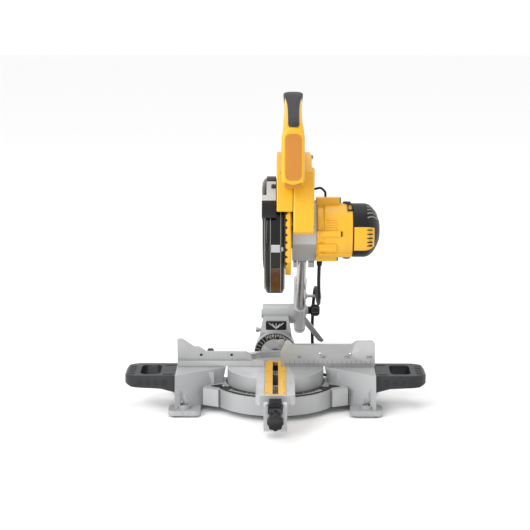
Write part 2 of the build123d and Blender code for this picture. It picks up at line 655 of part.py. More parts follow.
def cord_coil():
    ring = disc_z(COIL_X, COIL_Y, COIL_R + 10.5, 0.3, 14.3)
    return ring - disc_z(COIL_X, COIL_Y, COIL_R - 10.5, -1, 20)


def plug():
    """Mains plug lying beside the coil, pointing away from the operator."""
    x, y, z = COIL_X + 46, COIL_Y + 26, 11.0
    shape = rod((x, y, z), (x, y + 24, z), 4.2, 7.5) + rod((x, y + 24, z), (x, y + 46, z), 10.0)
    for side in (-1, 1):
        shape += disc_y(x + side * 5, z, 2.3, y + 45, y + 64)
    return shape


def lead_loop():
    """Short lead between the handle housing and the motor, in raised coordinates."""
    points = [Vector(*p) for p in LEAD_ROUTE]
    radii = [8.0, 8.0]
    path = FilletPolyline(*points, radius=radii)
    return sweep(Plane(origin=points[0], z_dir=points[1] - points[0]) * Circle(2.3), path=path)


LEAD_ROUTE = [(75.6, -88, 470), (90, -90, 474), (99, -96, 466), (99, -104, 445)]


# ---- everything in its place ---------------------------------------------------------------------
def build():
    add("base_casting", base_casting())
    add("left_carry_handle", carry_handle(-1))
    add("right_carry_handle", carry_handle(1))
    add("rubber_feet", group(*[disc_z(x, y, 8, 0, RUBBER) for x in (-206, 206) for y in (-92, 92)]))
    add("mitre_scale_plate", mitre_scale_plate())
    add("fence_casting", fence_casting())
    add("fence_bolts", group(*[disc_z(x, BOLT_Y, 2.9, 80.5, 87) + disc_z(x, BOLT_Y, 5.5, 87, 90.5)
                               for x in FENCE_BOLTS]))
    add("turntable_bolt", disc_z(0, 0, 5, 12, 62) + disc_z(0, 0, 9, 4, 12))
    add("left_fence", left_fence())
    add("fence_clamp_knob", fence_clamp_knob())

    add("turntable_casting", turntable_casting())
    add("kerf_plate", kerf_plate())
    add("kerf_plate_screws", kerf_plate_screws())
    add("mitre_pointer", mitre_pointer())
    add("bevel_scale", bevel_scale())
    add("bevel_pivot_bolt", disc_y(0, TABLE_Z, 6, 104, 182) + disc_y(0, TABLE_Z, 12, 103, 109))
    add("mitre_lock_knob", mitre_lock_knob())
    add("mitre_lock_rod", disc_y(0, KNOB_Z, 4, -290, -RING_R - 1))
    add("mitre_latch", mitre_latch())

    add("bevel_arm_casting", bevel_arm_casting())
    add("return_spring", return_spring())
    add("pivot_bushes", pivot_bushes())
    add("bevel_lock_lever", bevel_lock_lever())
    add("lock_down_pin", disc_x(146, 124, 4, -38, -20) + disc_x(146, 124, 6, -43, -36))

    add("rail_carriage", UP * rail_carriage() - cord_guide())
    add("linear_bearings", linear_bearings(), lifted=True)
    add("chop_pivot_shaft", chop_pivot_shaft())
    add("rail_lock_knob", rail_lock_knob(), lifted=True)
    add("carriage_clamp_bolt", carriage_clamp_bolt(), lifted=True)
    add("cord_guide", cord_guide())

    add("lower_rail", disc_y(RAIL_X, LOW_RAIL_Z, RAIL_R, RAIL_FRONT, RAIL_REAR), lifted=True)
    add("upper_rail", disc_y(RAIL_X, TOP_RAIL_Z, RAIL_R, RAIL_FRONT, RAIL_REAR), lifted=True)
    add("rail_end_bracket", rail_end_bracket(), lifted=True)
    add("gear_case", gear_case(), lifted=True)
    add("upper_blade_guard", upper_blade_guard(), lifted=True)
    add("lower_guard", lower_guard(), lifted=True)
    add("left_handle_shell", handle_shell(-1), lifted=True)
    add("right_handle_shell", handle_shell(1), lifted=True)
    add("grip_overmould", grip_overmould(), lifted=True)
    add("trigger", trigger(), lifted=True)
    add("lock_off_button", lock_off_button(), lifted=True)
    add("spindle_lock_button", spindle_lock_button(), lifted=True)
    add("guard_bracket", guard_bracket(), lifted=True)
    add("brush_caps", brush_caps(), lifted=True)
    add("motor_housing", motor_housing(), lifted=True)
    add("motor_end_cap", motor_end_cap(), lifted=True)
    add("stator", stator(), lifted=True)
    add("armature", armature(), lifted=True)
    add("spindle", spindle(), lifted=True)
    add("saw_blade", saw_blade(), lifted=True)
    add("blade_flanges", blade_flanges(), lifted=True)
    add("arbor_bolt", arbor_bolt(), lifted=True)

    add("strain_relief", rod(RELIEF_START, CORD_EXIT, 7.5, 4.6))
    add("lead_loop", lead_loop())
    add("cord_from_head", cord_tube("cord_from_head", HEAD_ROUTE))
    add("cord_at_carriage", cord_tube("cord_at_carriage", CARRIAGE_ROUTE))
    add("cord_at_arm", cord_tube("cord_at_arm", ARM_ROUTE))
    add("cord_to_coil", cord_tube("cord_to_coil", TABLE_ROUTE))
    add("cord_coil", cord_coil())
    add("plug", plug())


build()
for name, shape in NODES.items():
    export_step(shape, f"parts/{name}.step")
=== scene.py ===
"""Sliding mitre saw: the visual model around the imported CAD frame.

Lengths in this file are millimetres until a mesh is made, which scales them to metres. Pieces of the
head are drawn with the rails level and lifted about the chop pivot, as the saw rests raised.
"""
import json
from math import cos, pi, radians, sin
import bmesh
import bpy
from mathutils import Matrix, Vector


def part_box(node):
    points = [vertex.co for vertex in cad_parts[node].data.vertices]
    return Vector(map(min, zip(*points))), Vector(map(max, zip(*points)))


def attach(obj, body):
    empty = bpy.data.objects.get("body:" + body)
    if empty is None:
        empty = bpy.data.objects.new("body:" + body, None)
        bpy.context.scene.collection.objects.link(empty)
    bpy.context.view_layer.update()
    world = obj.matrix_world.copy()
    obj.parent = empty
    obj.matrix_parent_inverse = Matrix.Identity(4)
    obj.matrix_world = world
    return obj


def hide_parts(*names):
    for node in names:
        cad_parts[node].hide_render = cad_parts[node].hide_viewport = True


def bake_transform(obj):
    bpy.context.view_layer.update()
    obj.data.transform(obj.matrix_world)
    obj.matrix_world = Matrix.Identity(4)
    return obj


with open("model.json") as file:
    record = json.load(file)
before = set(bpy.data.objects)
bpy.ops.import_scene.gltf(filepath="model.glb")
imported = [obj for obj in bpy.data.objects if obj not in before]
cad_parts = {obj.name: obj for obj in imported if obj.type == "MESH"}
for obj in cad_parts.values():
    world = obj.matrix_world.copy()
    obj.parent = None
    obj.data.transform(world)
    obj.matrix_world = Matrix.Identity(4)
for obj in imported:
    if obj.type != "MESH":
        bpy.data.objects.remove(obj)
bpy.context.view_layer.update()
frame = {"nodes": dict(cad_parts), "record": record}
NODES = frame["nodes"]
MM = 0.001


# ---- places read from the frame ----------------------------------------------------------------------
def middle(node):
    low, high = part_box(node)
    return (low + high) / (2 * MM)


def low_corner(node):
    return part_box(node)[0] / MM


def high_corner(node):
    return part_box(node)[1] / MM


RAISE = radians(36)
PIVOT = Vector((0, middle("chop_pivot_shaft").y, middle("chop_pivot_shaft").z))
LIFT = Matrix.Translation(PIVOT) @ Matrix.Rotation(-RAISE, 4, "X") @ Matrix.Translation(-PIVOT)
LEVEL = LIFT.inverted()
BLADE = LEVEL @ middle("saw_blade")
MOTOR = LEVEL @ middle("stator")
MOTOR_R = 53.5
LOWER_RAIL_Z, UPPER_RAIL_Z = 141.0, 197.0
SEAM_X = 34.0
TABLE_Z = high_corner("kerf_plate").z
KNOB = middle("mitre_lock_knob")
CORD_R = 3.5


# ---- camera ------------------------------------------------------------------------------------------
def add_camera():
    data = bpy.data.cameras.new("camera")
    data.sensor_width = 36.0
    data.lens = 102.0
    data.clip_start = 0.05
    data.clip_end = 60.0
    camera = bpy.data.objects.new("camera", data)
    camera.location = (0.0, -3.057, 0.9165)
    camera.rotation_euler = (radians(90 - 11.44), 0.0, radians(0.411))
    bpy.context.scene.collection.objects.link(camera)
    bpy.context.scene.camera = camera


# ---- materials ---------------------------------------------------------------------------------------
def rgb(code):
    """Linear colour from a hex code."""
    parts = []
    for i in (1, 3, 5):
        c = int(code[i:i + 2], 16) / 255
        parts.append(c / 12.92 if c <= 0.04045 else ((c + 0.055) / 1.055) ** 2.4)
    return (*parts, 1.0)


def shade(colour, factor):
    return (*[min(1.0, c * factor) for c in colour[:3]], 1.0)


class Nodes:
    """Short calls for building a node tree."""

    def __init__(self, tree):
        self.tree = tree

    def new(self, kind, **values):
        node = self.tree.nodes.new(kind)
        for key, value in values.items():
            if key in node.inputs:
                node.inputs[key].default_value = value
            else:
                setattr(node, key, value)
        return node

    def join(self, source, target):
        self.tree.links.new(source, target)


def surface(name, colour, rough, metal=0.0, vary=0.07, blotch=22.0, grain=1400.0, bump=0.12, wear=None,
            wear_from=0.53, stretch=None, coat=0.0, spread=0.10, sheen=0.0, see_through=0.0, scratch=0.0,
            shine=0.5):
    """Procedural finish: blotches of colour, fine grain in bump and roughness, worn edges, scratches."""
    material = bpy.data.materials.new(name)
    material.use_nodes = True
    tree = Nodes(material.node_tree)
    shader = material.node_tree.nodes["Principled BSDF"]
    base = rgb(colour)
    place = tree.new("ShaderNodeTexCoord").outputs["Object"]
    if stretch:
        mapping = tree.new("ShaderNodeMapping", Scale=stretch)
        tree.join(place, mapping.inputs["Vector"])
        fine_place = mapping.outputs["Vector"]
    else:
        fine_place = place
    broad = tree.new("ShaderNodeTexNoise", Scale=blotch, Detail=4.0, Roughness=0.6)
    tree.join(place, broad.inputs["Vector"])
    tone = tree.new("ShaderNodeMix", data_type="RGBA")
    tone.inputs[6].default_value = shade(base, 1 - vary)
    tone.inputs[7].default_value = shade(base, 1 + vary)
    tree.join(broad.outputs["Fac"], tone.inputs[0])
    fine = tree.new("ShaderNodeTexNoise", Scale=grain, Detail=3.0, Roughness=0.55)
    tree.join(fine_place, fine.inputs["Vector"])
    colour_out = tone.outputs[2]
    if wear:
        edge = tree.new("ShaderNodeNewGeometry").outputs["Pointiness"]
        limit = tree.new("ShaderNodeMapRange")
        for key, value in (("From Min", wear_from), ("From Max", wear_from + 0.07)):
            limit.inputs[key].default_value = value
        tree.join(edge, limit.inputs["Value"])
        broken = tree.new("ShaderNodeMath", operation="MULTIPLY")
        tree.join(limit.outputs["Result"], broken.inputs[0])
        tree.join(broad.outputs["Fac"], broken.inputs[1])
        worn = tree.new("ShaderNodeMix", data_type="RGBA")
        worn.inputs[7].default_value = rgb(wear)
        tree.join(broken.outputs[0], worn.inputs[0])
        tree.join(colour_out, worn.inputs[6])
        colour_out = worn.outputs[2]
    if scratch:
        lines = tree.new("ShaderNodeTexNoise", Scale=55.0, Detail=2.0, Distortion=0.6)
        turn = tree.new("ShaderNodeMapping", Scale=(1.0, 14.0, 3.0), Rotation=(0.4, 0.2, 0.6))
        tree.join(place, turn.inputs["Vector"])
        tree.join(turn.outputs["Vector"], lines.inputs["Vector"])
        thin = tree.new("ShaderNodeMapRange")
        thin.inputs["From Min"].default_value = 0.66
        thin.inputs["From Max"].default_value = 0.70
        thin.inputs["To Max"].default_value = scratch
        tree.join(lines.outputs["Fac"], thin.inputs["Value"])
        marked = tree.new("ShaderNodeMix", data_type="RGBA")
        marked.inputs[7].default_value = shade(base, 1.35)
        tree.join(thin.outputs["Result"], marked.inputs[0])
        tree.join(colour_out, marked.inputs[6])
        colour_out = marked.outputs[2]
    tree.join(colour_out, shader.inputs["Base Color"])
    polish = tree.new("ShaderNodeMapRange")
    polish.inputs["To Min"].default_value = max(0.03, rough - spread)
    polish.inputs["To Max"].default_value = min(1.0, rough + spread)
    tree.join(fine.outputs["Fac"], polish.inputs["Value"])
    tree.join(polish.outputs["Result"], shader.inputs["Roughness"])
    relief = tree.new("ShaderNodeBump", Strength=bump, Distance=0.0004)
    tree.join(fine.outputs["Fac"], relief.inputs["Height"])
    tree.join(relief.outputs["Normal"], shader.inputs["Normal"])
    shader.inputs["Metallic"].default_value = metal
    shader.inputs["Specular IOR Level"].default_value = shine
    shader.inputs["Coat Weight"].default_value = coat
    shader.inputs["Coat Roughness"].default_value = 0.18
    shader.inputs["Sheen Weight"].default_value = sheen
    shader.inputs["Transmission Weight"].default_value = see_through
    return material


MATERIALS = {
    "cast_alloy": surface("cast_alloy", "#A5A6A7", 0.44, 0.35, 0.06, 16, 1500, 0.22, "#D8D9DA"),
    "machined_alloy": surface("machined_alloy", "#A3A4A4", 0.34, 0.45, 0.06, 12, 500, 0.10, "#E0E1E1",
                              stretch=(0.12, 1.0, 6.0), scratch=0.25),
    "yellow_plastic": surface("yellow_plastic", "#DAA414", 0.34, 0.0, 0.05, 14, 1800, 0.07, "#FFD056",
                              wear_from=0.56, coat=0.12, spread=0.07),
    "black_plastic": surface("black_plastic", "#0A0A0B", 0.42, 0.0, 0.2, 30, 2200, 0.2, "#48494C",
                             wear_from=0.55, spread=0.12, shine=0.28),
    "slate_plastic": surface("slate_plastic", "#1C1D20", 0.46, 0.0, 0.12, 26, 2200, 0.25, "#4E5055",
                             spread=0.10, scratch=0.2, shine=0.4),
    "soft_grip": surface("soft_grip", "#242427", 0.55, 0.0, 0.14, 30, 2600, 0.35, "#5A5B60", sheen=0.08,
                         shine=0.35),
    "black_rubber": surface("black_rubber", "#0B0B0C", 0.66, 0.0, 0.15, 40, 2600, 0.35, "#343436",
                            sheen=0.05, shine=0.25),
    "chrome": surface("chrome", "#A8A5A3", 0.24, 1.0, 0.03, 20, 300, 0.03, None, stretch=(6.0, 0.4, 6.0),
                      spread=0.06),
    "steel": surface("steel", "#A9ABAE", 0.32, 1.0, 0.08, 40, 900, 0.10, "#E8E9EA", spread=0.10),
    "blade_steel": surface("blade_steel", "#A8A9AC", 0.26, 1.0, 0.06, 25, 500, 0.06, "#EDEDEE",
                           stretch=(8.0, 1.0, 1.0), scratch=0.3),
    "scale_black": surface("scale_black", "#12100F", 0.42, 0.0, 0.15, 30, 1200, 0.10, "#6C6A66",
                           wear_from=0.55, shine=0.3),
    "guard_smoke": surface("guard_smoke", "#070606", 0.26, 0.0, 0.2, 24, 1500, 0.08, "#5E5E60",
                           wear_from=0.56, spread=0.06, shine=0.35),
    "copper_core": surface("copper_core", "#9A5B34", 0.38, 0.9, 0.12, 60, 900, 0.25, "#D99A6B",
                           stretch=(9.0, 1.0, 1.0)),
    "cord_black": surface("cord_black", "#0B0B0C", 0.5, 0.0, 0.15, 60, 2400, 0.25, "#2C2C2E", shine=0.3),
}
EXTRA = {
    # painted shade: a darker orange-brown copy of the yellow plastic stands in for the shade on the
    # handle's flat front panel and in the crease under it; its lighter edge wear and scratches are ordinary
    # marks
    "painted_shade_panel": ("yellow_plastic", surface("painted_shade_panel", "#B5741F", 0.5, 0.0, 0.09, 20, 1500, 0.18,
                                               "#E8A54A", scratch=0.15)),
    "amber_window": ("guard_smoke", surface("amber_window", "#5A3216", 0.22, 0.0, 0.2, 20, 900, 0.05,
                                            None, see_through=0.35)),
    "grey_rim": ("guard_smoke", surface("grey_rim", "#5C5853", 0.40, 0.1, 0.10, 30, 1300, 0.12,
                                        "#A8A6A2")),
    "mark_white": ("scale_black", surface("mark_white", "#E9E7E2", 0.5, 0.0, 0.05, 60, 1500, 0.05)),
    "mark_dark": ("scale_black", surface("mark_dark", "#3A3A3B", 0.5, 0.0, 0.10, 60, 1500, 0.05)),
}


def look(key):
    """Material of a finish."""
    return EXTRA[key][1] if key in EXTRA else MATERIALS[key]


# ---- mesh helpers: each returns (points in millimetres, faces) ---------------------------------------
def prism(points, a, b, axis="x"):
    """A flat outline carried from a to b along an axis."""
    def place(p, t):
        return {"x": (t, p[0], p[1]), "y": (p[0], t, p[1]), "z": (p[0], p[1], t)}[axis]
    n = len(points)
    verts = [place(p, a) for p in points] + [place(p, b) for p in points]
    faces = [tuple(range(n)), tuple(range(2 * n - 1, n - 1, -1))]
    faces += [(i, (i + 1) % n, n + (i + 1) % n, n + i) for i in range(n)]
    return verts, faces


def block(x0, x1, y0, y1, z0, z1):
    return prism([(x0, y0), (x1, y0), (x1, y1), (x0, y1)], z0, z1, "z")


def circle(u, v, radius, steps=32, start=0.0, end=360.0):
    """Points on a circle, or on an arc of it when the ends differ from a full turn."""
    full = abs(end - start) > 359.9
    count = steps if full else steps + 1
    points = []
    for i in range(count):
        a = radians(start + (end - start) * i / steps)
        points.append((u + radius * cos(a), v + radius * sin(a)))
    return points


def rounded(u0, u1, v0, v1, radius, steps=6):
    """Corner-rounded rectangle."""
    points = []
    for u, v, start in ((u1, v1, 0), (u0, v1, 90), (u0, v0, 180), (u1, v0, 270)):
        cu = u - radius if u == u1 else u + radius
        cv = v - radius if v == v1 else v + radius
        points += circle(cu, cv, radius, steps, start, start + 90)
    return points


def turned(profile, centre, axis="x", start=0.0, end=360.0, steps=48):
    """A closed profile of (along, radius) turned about an axis through the centre."""
    full = abs(end - start) > 359.9
    rings = steps if full else steps + 1
    n = len(profile)
    verts = []
    for i in range(rings):
        a = radians(start + (end - start) * i / steps)
        for along, r in profile:
            if axis == "x":
                verts.append((along, centre[0] + r * cos(a), centre[1] + r * sin(a)))
            elif axis == "y":
                verts.append((centre[0] + r * cos(a), along, centre[1] + r * sin(a)))
            else:
                verts.append((centre[0] + r * cos(a), centre[1] + r * sin(a), along))
    faces = []
    for i in range(steps):
        j = (i + 1) % rings
        for k in range(n):
            m = (k + 1) % n
            faces.append((i * n + k, i * n + m, j * n + m, j * n + k))
    if not full:
        faces += [tuple(range(n)), tuple(steps * n + k for k in reversed(range(n)))]
    return verts, faces


def tube(path, radius, sides=16, closed=False, taper=None):
    """A round tube along a path, with an optional radius per point."""
    path = [Vector(p) for p in path]
    n = len(path)
    verts = []
    normal = None
    for i, p in enumerate(path):
        if closed:
            along = (path[(i + 1) % n] - path[i - 1]).normalized()
        else:
            along = (path[min(i + 1, n - 1)] - path[max(i - 1, 0)]).normalized()
        if normal is None:
            normal = along.cross(Vector((0.3, 0.2, 1.0))).normalized()
        normal = (normal - along * normal.dot(along)).normalized()
        side = along.cross(normal)
        r = taper[i] if taper else radius
        for k in range(sides):
            a = 2 * pi * k / sides
            verts.append(tuple(p + normal * (r * cos(a)) + side * (r * sin(a))))
    faces = []
    for i in range(n if closed else n - 1):
        j = (i + 1) % n
        for k in range(sides):
            m = (k + 1) % sides
            faces.append((i * sides + k, i * sides + m, j * sides + m, j * sides + k))
    if not closed:
        faces += [tuple(range(sides)), tuple((n - 1) * sides + k for k in reversed(range(sides)))]
    return verts, faces


def merged(*parts):
    verts, faces = [], []
    for part_verts, part_faces in parts:
        start = len(verts)
        verts += part_verts
        faces += [tuple(start + i for i in f) for f in part_faces]
    return verts, faces


def turned_about(part, centre, angle, axis="X"):
    """The same part rotated about an axis through the centre, in degrees."""
    spin = Matrix.Translation(centre) @ Matrix.Rotation(radians(angle), 4,
                                                        axis) @ Matrix.Translation(-centre)
    return [tuple(spin @ Vector(v)) for v in part[0]], part[1]


def soften(obj, width, segments=3, level=0, angle=35):
    if width:
        bevel = obj.modifiers.new("edges", "BEVEL")
        bevel.width = width * MM
        bevel.segments = segments
        bevel.limit_method = "ANGLE"
        bevel.angle_limit = radians(angle)
        bevel.harden_normals = False
    if level:
        smooth = obj.modifiers.new("smooth", "SUBSURF")
        smooth.levels = level
        smooth.render_levels = level
    weigh = obj.modifiers.new("normals", "WEIGHTED_NORMAL")
    weigh.keep_sharp = True


def piece(name, part, key, body, lifted=False, width=0.0, segments=3, level=0, angle=35, replaces=()):
    """Makes a mesh object from a part, finishes it and lets it ride on a body."""
    mesh = bpy.data.meshes.new(name)
    turn = LIFT if lifted else Matrix.Identity(4)
    mesh.from_pydata([tuple((turn @ Vector(v)) * MM) for v in part[0]], [], part[1])
    work = bmesh.new()
    work.from_mesh(mesh)
    bmesh.ops.remove_doubles(work, verts=work.verts, dist=0.000002)
    bmesh.ops.recalc_face_normals(work, faces=work.faces)
    work.to_mesh(mesh)
    work.free()
    for polygon in mesh.polygons:
        polygon.use_smooth = True
    mesh.set_sharp_from_angle(angle=radians(38))
    obj = bpy.data.objects.new(name, mesh)
    bpy.context.scene.collection.objects.link(obj)
    mesh.materials.append(look(key))
    soften(obj, width, segments, level, angle)
    if body:
        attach(obj, body)
    if replaces:
        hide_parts(*replaces)
    return obj


def on_head(name, part, key, width=0.0, segments=3, **more):
    """A piece of the head, drawn with the rails level."""
    return piece(name, part, key, "head", True, width, segments, **more)


# ---- cords -------------------------------------------------------------------------------------------
CORD_EXIT = (88, -90, 315)
HEAD_ROUTE = [CORD_EXIT, (87, -83, 283), (89, -62, 246), (90, -22, 221), (90, 28, 209), (89, 76, 211),
              (88, 118, 223), (87, 152, 219), (85, 177, 196), (83, 186, 166), (82.33, 183.33, 150)]
CARRIAGE_ROUTE = [(82.33, 183.33, 150), (81, 178, 118), (81.5, 178.5, 102)]
ARM_ROUTE = [(81.5, 178.5, 102), (82.19, 179.19, 80), (83.19, 180.29, 58)]
TABLE_ROUTE = [(83.19, 180.29, 58), (84.19, 181.39, 36), (95, 187.5, 16.2), (113.5, 197.5, 4.1),
               (152, 209, 4.1)]
COIL_X, COIL_Y = 170.0, 255.0
COIL_TURNS = 5.25
TURN_POINTS = 24


def coil_points():
    """Three turns on the floor, working inwards, and two and a quarter on top, working outwards."""
    points = []
    pull = (1 + cos(2 * pi / TURN_POINTS)) / 2
    count = int(COIL_TURNS * TURN_POINTS)
    for i in range(2, count + 1):
        turn = i / TURN_POINTS
        whole = int(turn)
        step = max(0.0, (turn - whole - 0.8) / 0.2)
        place = whole + step
        r = 46 - 7 * place if place <= 2 else (32 if place <= 3 else 32 + 7 * (place - 3))
        r = min(46.0, max(32.0, r))
        z = 4.1 if place <= 2 else min(11.1, 4.1 + 7.0 * (place - 2))
        a = radians(-90) + 2 * pi * turn
        points.append((COIL_X + r / pull * cos(a), COIL_Y + r / pull * sin(a), z))
    return points


def smooth_line(points):
    """Points along the NURBS spline that has the route as its control points."""
    data = bpy.data.curves.new("route", "CURVE")
    data.dimensions = "3D"
    spline = data.splines.new("NURBS")
    spline.points.add(len(points) - 1)
    for point, place in zip(spline.points, points):
        point.co = (*[c * MM for c in place], 1.0)
    spline.order_u = 3
    spline.use_endpoint_u = True
    data.resolution_u = 8
    holder = bpy.data.objects.new("route", data)
    bpy.context.scene.collection.objects.link(holder)
    mesh = bpy.data.meshes.new_from_object(holder)
    path = [tuple(v.co / MM) for v in mesh.vertices]
    bpy.data.objects.remove(holder)
    bpy.data.curves.remove(data)
    bpy.data.meshes.remove(mesh)
    return path


def cord_piece(name, route, replaces):
    path = smooth_line(route)
    obj = piece(name, tube(path, CORD_R, 20), "cord_black", None, replaces=replaces)
    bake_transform(obj)
    return obj


def mains_plug():
    """Moulded plug with a ribbed tail and two round pins, lying beside the coil."""
    x, y, z = COIL_X + 46, COIL_Y + 26, 11.0
    tail = [(y, 0.0), (y, 4.2)]
    for i in range(6):
        at = y + 3 + i * 3.4
        r = 4.6 + 0.5 * i
        tail += [(at, r), (at + 0.5, r + 0.9), (at + 2.0, r + 0.9), (at + 2.5, r)]
    tail += [(y + 25, 8.6), (y + 27, 9.7), (y + 44, 10.0), (y + 46, 8.8), (y + 46, 0.0)]
    pins = []
    for side in (-5, 5):
        shape = [(y + 45, 0.0), (y + 45, 2.3), (y + 62, 2.3), (y + 63.5, 1.6), (y + 64, 0.0)]
        pins.append(turned(shape, (x + side, z), "y", steps=16))
    body = piece("mains_plug", turned(tail, (x, z), "y", steps=40), "black_plastic", "base", width=0.5,
                 replaces=("plug",))
    prongs = piece("mains_plug_pins", merged(*pins), "steel", "base")
    return body, prongs


def add_cords():
    """The mains cord in four parts, its plug, and the tie round the coil."""
    plug, pins = mains_plug()
    cord_piece("mains_cord_head", HEAD_ROUTE,
               ("cord_from_head",))
    cord_piece("mains_cord_carriage", CARRIAGE_ROUTE,
               ("cord_at_carriage",))
    cord_piece("mains_cord_arm", ARM_ROUTE,
               ("cord_at_arm",))
    tail = [(COIL_X + 46.2, COIL_Y + 10, 11.05), (COIL_X + 46, COIL_Y + 28, 11.0)]
    cord_piece("mains_cord_coil", TABLE_ROUTE + coil_points() + tail,
               ("cord_to_coil", "cord_coil"))
    path = []
    for u, v in rounded(-12.2, 12.2, 0.75, 15.2, 4.5, 5):
        path.append((COIL_X, COIL_Y + 39 + u, v))
    band = tube(path, 1.0, 8, closed=True)
    wide = [(COIL_X + (v[0] - COIL_X) * 4.0, v[1], max(0.15, v[2])) for v in band[0]]
    piece("cord_tie", (wide, band[1]), "black_rubber", "base")


# ---- housing and handle ------------------------------------------------------------------------------
HANDLE_PAIRS = [
    ((-236, 338), (-276, 318)), ((-285, 366), (-292, 334)), ((-315, 384), (-317, 353)),
    ((-341, 394), (-332, 358)), ((-366, 389), (-344, 353)), ((-380, 372), (-352, 340)),
    ((-397, 335), (-364, 317)), ((-413, 298), (-372, 297)), ((-412, 283), (-366, 284)),
    ((-388, 248), (-354, 268)), ((-362, 213), (-340, 262)), ((-326, 207), (-316, 276)),
    ((-286, 214), (-294, 298)), ((-240, 250), (-286, 312)),
]
HANDLE_HALF = [24, 20, 18, 18, 17.5, 16.5, 16, 18, 21.5, 22, 22, 22, 23, 24]


def handle_half(side):
    """One half of the closed handle: a loop of section lines with a softened outer edge."""
    verts, faces = [], []
    n = len(HANDLE_PAIRS)
    for (outer, inner), half in zip(HANDLE_PAIRS, HANDLE_HALF):
        seam, far = SEAM_X + side * 0.15, SEAM_X + side * half
        near = SEAM_X + side * (half - 5)
        slim = [outer[0] + 0.16 * (inner[0] - outer[0]), outer[1] + 0.16 * (inner[1] - outer[1])]
        slim_in = [inner[0] + 0.16 * (outer[0] - inner[0]), inner[1] + 0.16 * (outer[1] - inner[1])]
        verts += [(seam, *outer), (near, *outer), (far, *slim), (far, *slim_in), (near, *inner),
                  (seam, *inner)]
    for i in range(n):
        j = (i + 1) % n
        for k in range(6):
            m = (k + 1) % 6
            faces.append((i * 6 + k, i * 6 + m, j * 6 + m, j * 6 + k))
    return verts, faces


BODY_SIDE = [(-299, 246), (-279, 297), (-257, 318), (-226, 323), (-168, 312), (-116, 285), (-101, 250),
             (-112, 223), (-160, 219), (-200, 228), (-262, 244)]


def add_handle():
    """Both halves of the closed handle and of the housing below it, with their skirts."""
    for side, name, far in ((-1, "left", 2.0), (1, "right", 71.5)):
        node = name + "_handle_shell"
        on_head(name + "_handle_loop", handle_half(side), "yellow_plastic", 0.0, level=2, replaces=(node,))
        if side > 0:
            on_head(name + "_body_side", prism(BODY_SIDE, SEAM_X + 0.2, far), "yellow_plastic", 7.0, 5)
        else:
            # the part in front of the guard is as wide as the body, the part over it stays beside the guard
            brow = BODY_SIDE[:5] + [(-132, 298)] + arc_side(119.4, -103, -35, 12)
            on_head("left_brow", prism(brow, far, SEAM_X - 0.2), "yellow_plastic", 2.0, 3)
            on_head("left_body_side", prism(BODY_SIDE, 19.8, SEAM_X - 0.3), "yellow_plastic", 3.0, 4)
    left_skirt = [(-303, 252), (-302, 226), (-296, 196), (-284, 171), (-277.5, 175), (-281, 202),
                  (-284, 232), (-276, 252)]
    on_head("left_skirt", prism(left_skirt, 2, SEAM_X - 0.2), "yellow_plastic", 2.4, 4)
    right_skirt = [(-303, 252), (-302, 226), (-297, 196), (-281, 150), (-272, 134), (-257, 134),
                   (-254, 200), (-252, 234), (-262, 252)]
    on_head("right_skirt", prism(right_skirt, SEAM_X + 0.2, 75), "yellow_plastic", 3.5, 4)
    shoulder = [(-296, 250), (-286, 268), (-240, 292), (-178, 290), (-140, 272), (-150, 244), (-258, 240)]
    on_head("right_shoulder", prism(shoulder, 60, 77), "yellow_plastic", 6.0, 4)
    add_nose()
    add_grip()
    add_screws()


NOSE_X, NOSE_FRONT = 33.3, -223.6


def add_nose():
    """Rounded root of the handle with a flat panel coloured in painted shade, and a strip of painted shade
    in the crease under it.
    """
    sides = [(NOSE_X - 22, 503)] + circle(NOSE_X, 588, 22, 16, 180, 0) + [(NOSE_X + 22, 503), (NOSE_X, 497)]
    piece("nose_body", prism(sides, NOSE_FRONT + 1.4, NOSE_FRONT + 34, "y"), "yellow_plastic", "head",
          width=5.5, segments=4)
    outline = rounded(NOSE_X - 15.6, NOSE_X + 15.6, 507, 596, 10)
    # painted shade: the flat front panel takes the darker painted-shade copy of the yellow plastic
    piece("nose_panel", prism(outline, NOSE_FRONT, NOSE_FRONT + 6, "y"), "painted_shade_panel", "head", width=0.8)
    # painted shade: a dark strip set in the crease under the nose, where the overhang shades the body
    crease = rounded(NOSE_X - 17, NOSE_X + 17, 490, 501, 4)
    piece("nose_crease_shade", prism(crease, -214, -196, "y"), "painted_shade_panel", "head", width=1.5)


GRIP_LINE = [(-299, 375), (-319, 387), (-341, 397), (-356, 396), (-368, 391), (-378, 380), (-385, 368),
             (-394, 348), (-404, 326), (-412, 308), (-416, 297), (-418, 286)]
GRIP_HALF = [12, 17, 18.8, 19.2, 19.2, 18.4, 14, 11.4, 10.8, 10.7, 10.6, 10.4]


def add_grip():
    """Soft overmould along the top and front of the grip, wider where the hand closes over the top."""
    verts, faces = [], []
    n = len(GRIP_LINE)
    for i, ((y, z), half) in enumerate(zip(GRIP_LINE, GRIP_HALF)):
        before, after = GRIP_LINE[max(i - 1, 0)], GRIP_LINE[min(i + 1, n - 1)]
        along = Vector((after[0] - before[0], after[1] - before[1])).normalized()
        inward = Vector((along.y, -along.x)) * -1
        if inward.dot(Vector((-340 - y, 340 - z))) < 0:
            inward = -inward
        deep = 11.0 if half > 15 else 9.0
        section = [(-half, deep), (-half - 0.6, 3.4), (-half * 0.86, 0.6), (-half * 0.4, -0.9),
                   (half * 0.4, -0.9), (half * 0.86, 0.6), (half + 0.6, 3.4), (half, deep)]
        for across, into in section:
            verts.append((SEAM_X + across, y + inward.x * into, z + inward.y * into))
    m = 8
    for i in range(n - 1):
        for k in range(m):
            j = (k + 1) % m
            faces.append((i * m + k, i * m + j, (i + 1) * m + j, (i + 1) * m + k))
    faces += [tuple(range(m)), tuple((n - 1) * m + k for k in reversed(range(m)))]
    on_head("grip_cover", (verts, faces), "soft_grip", level=2, replaces=("grip_overmould",))


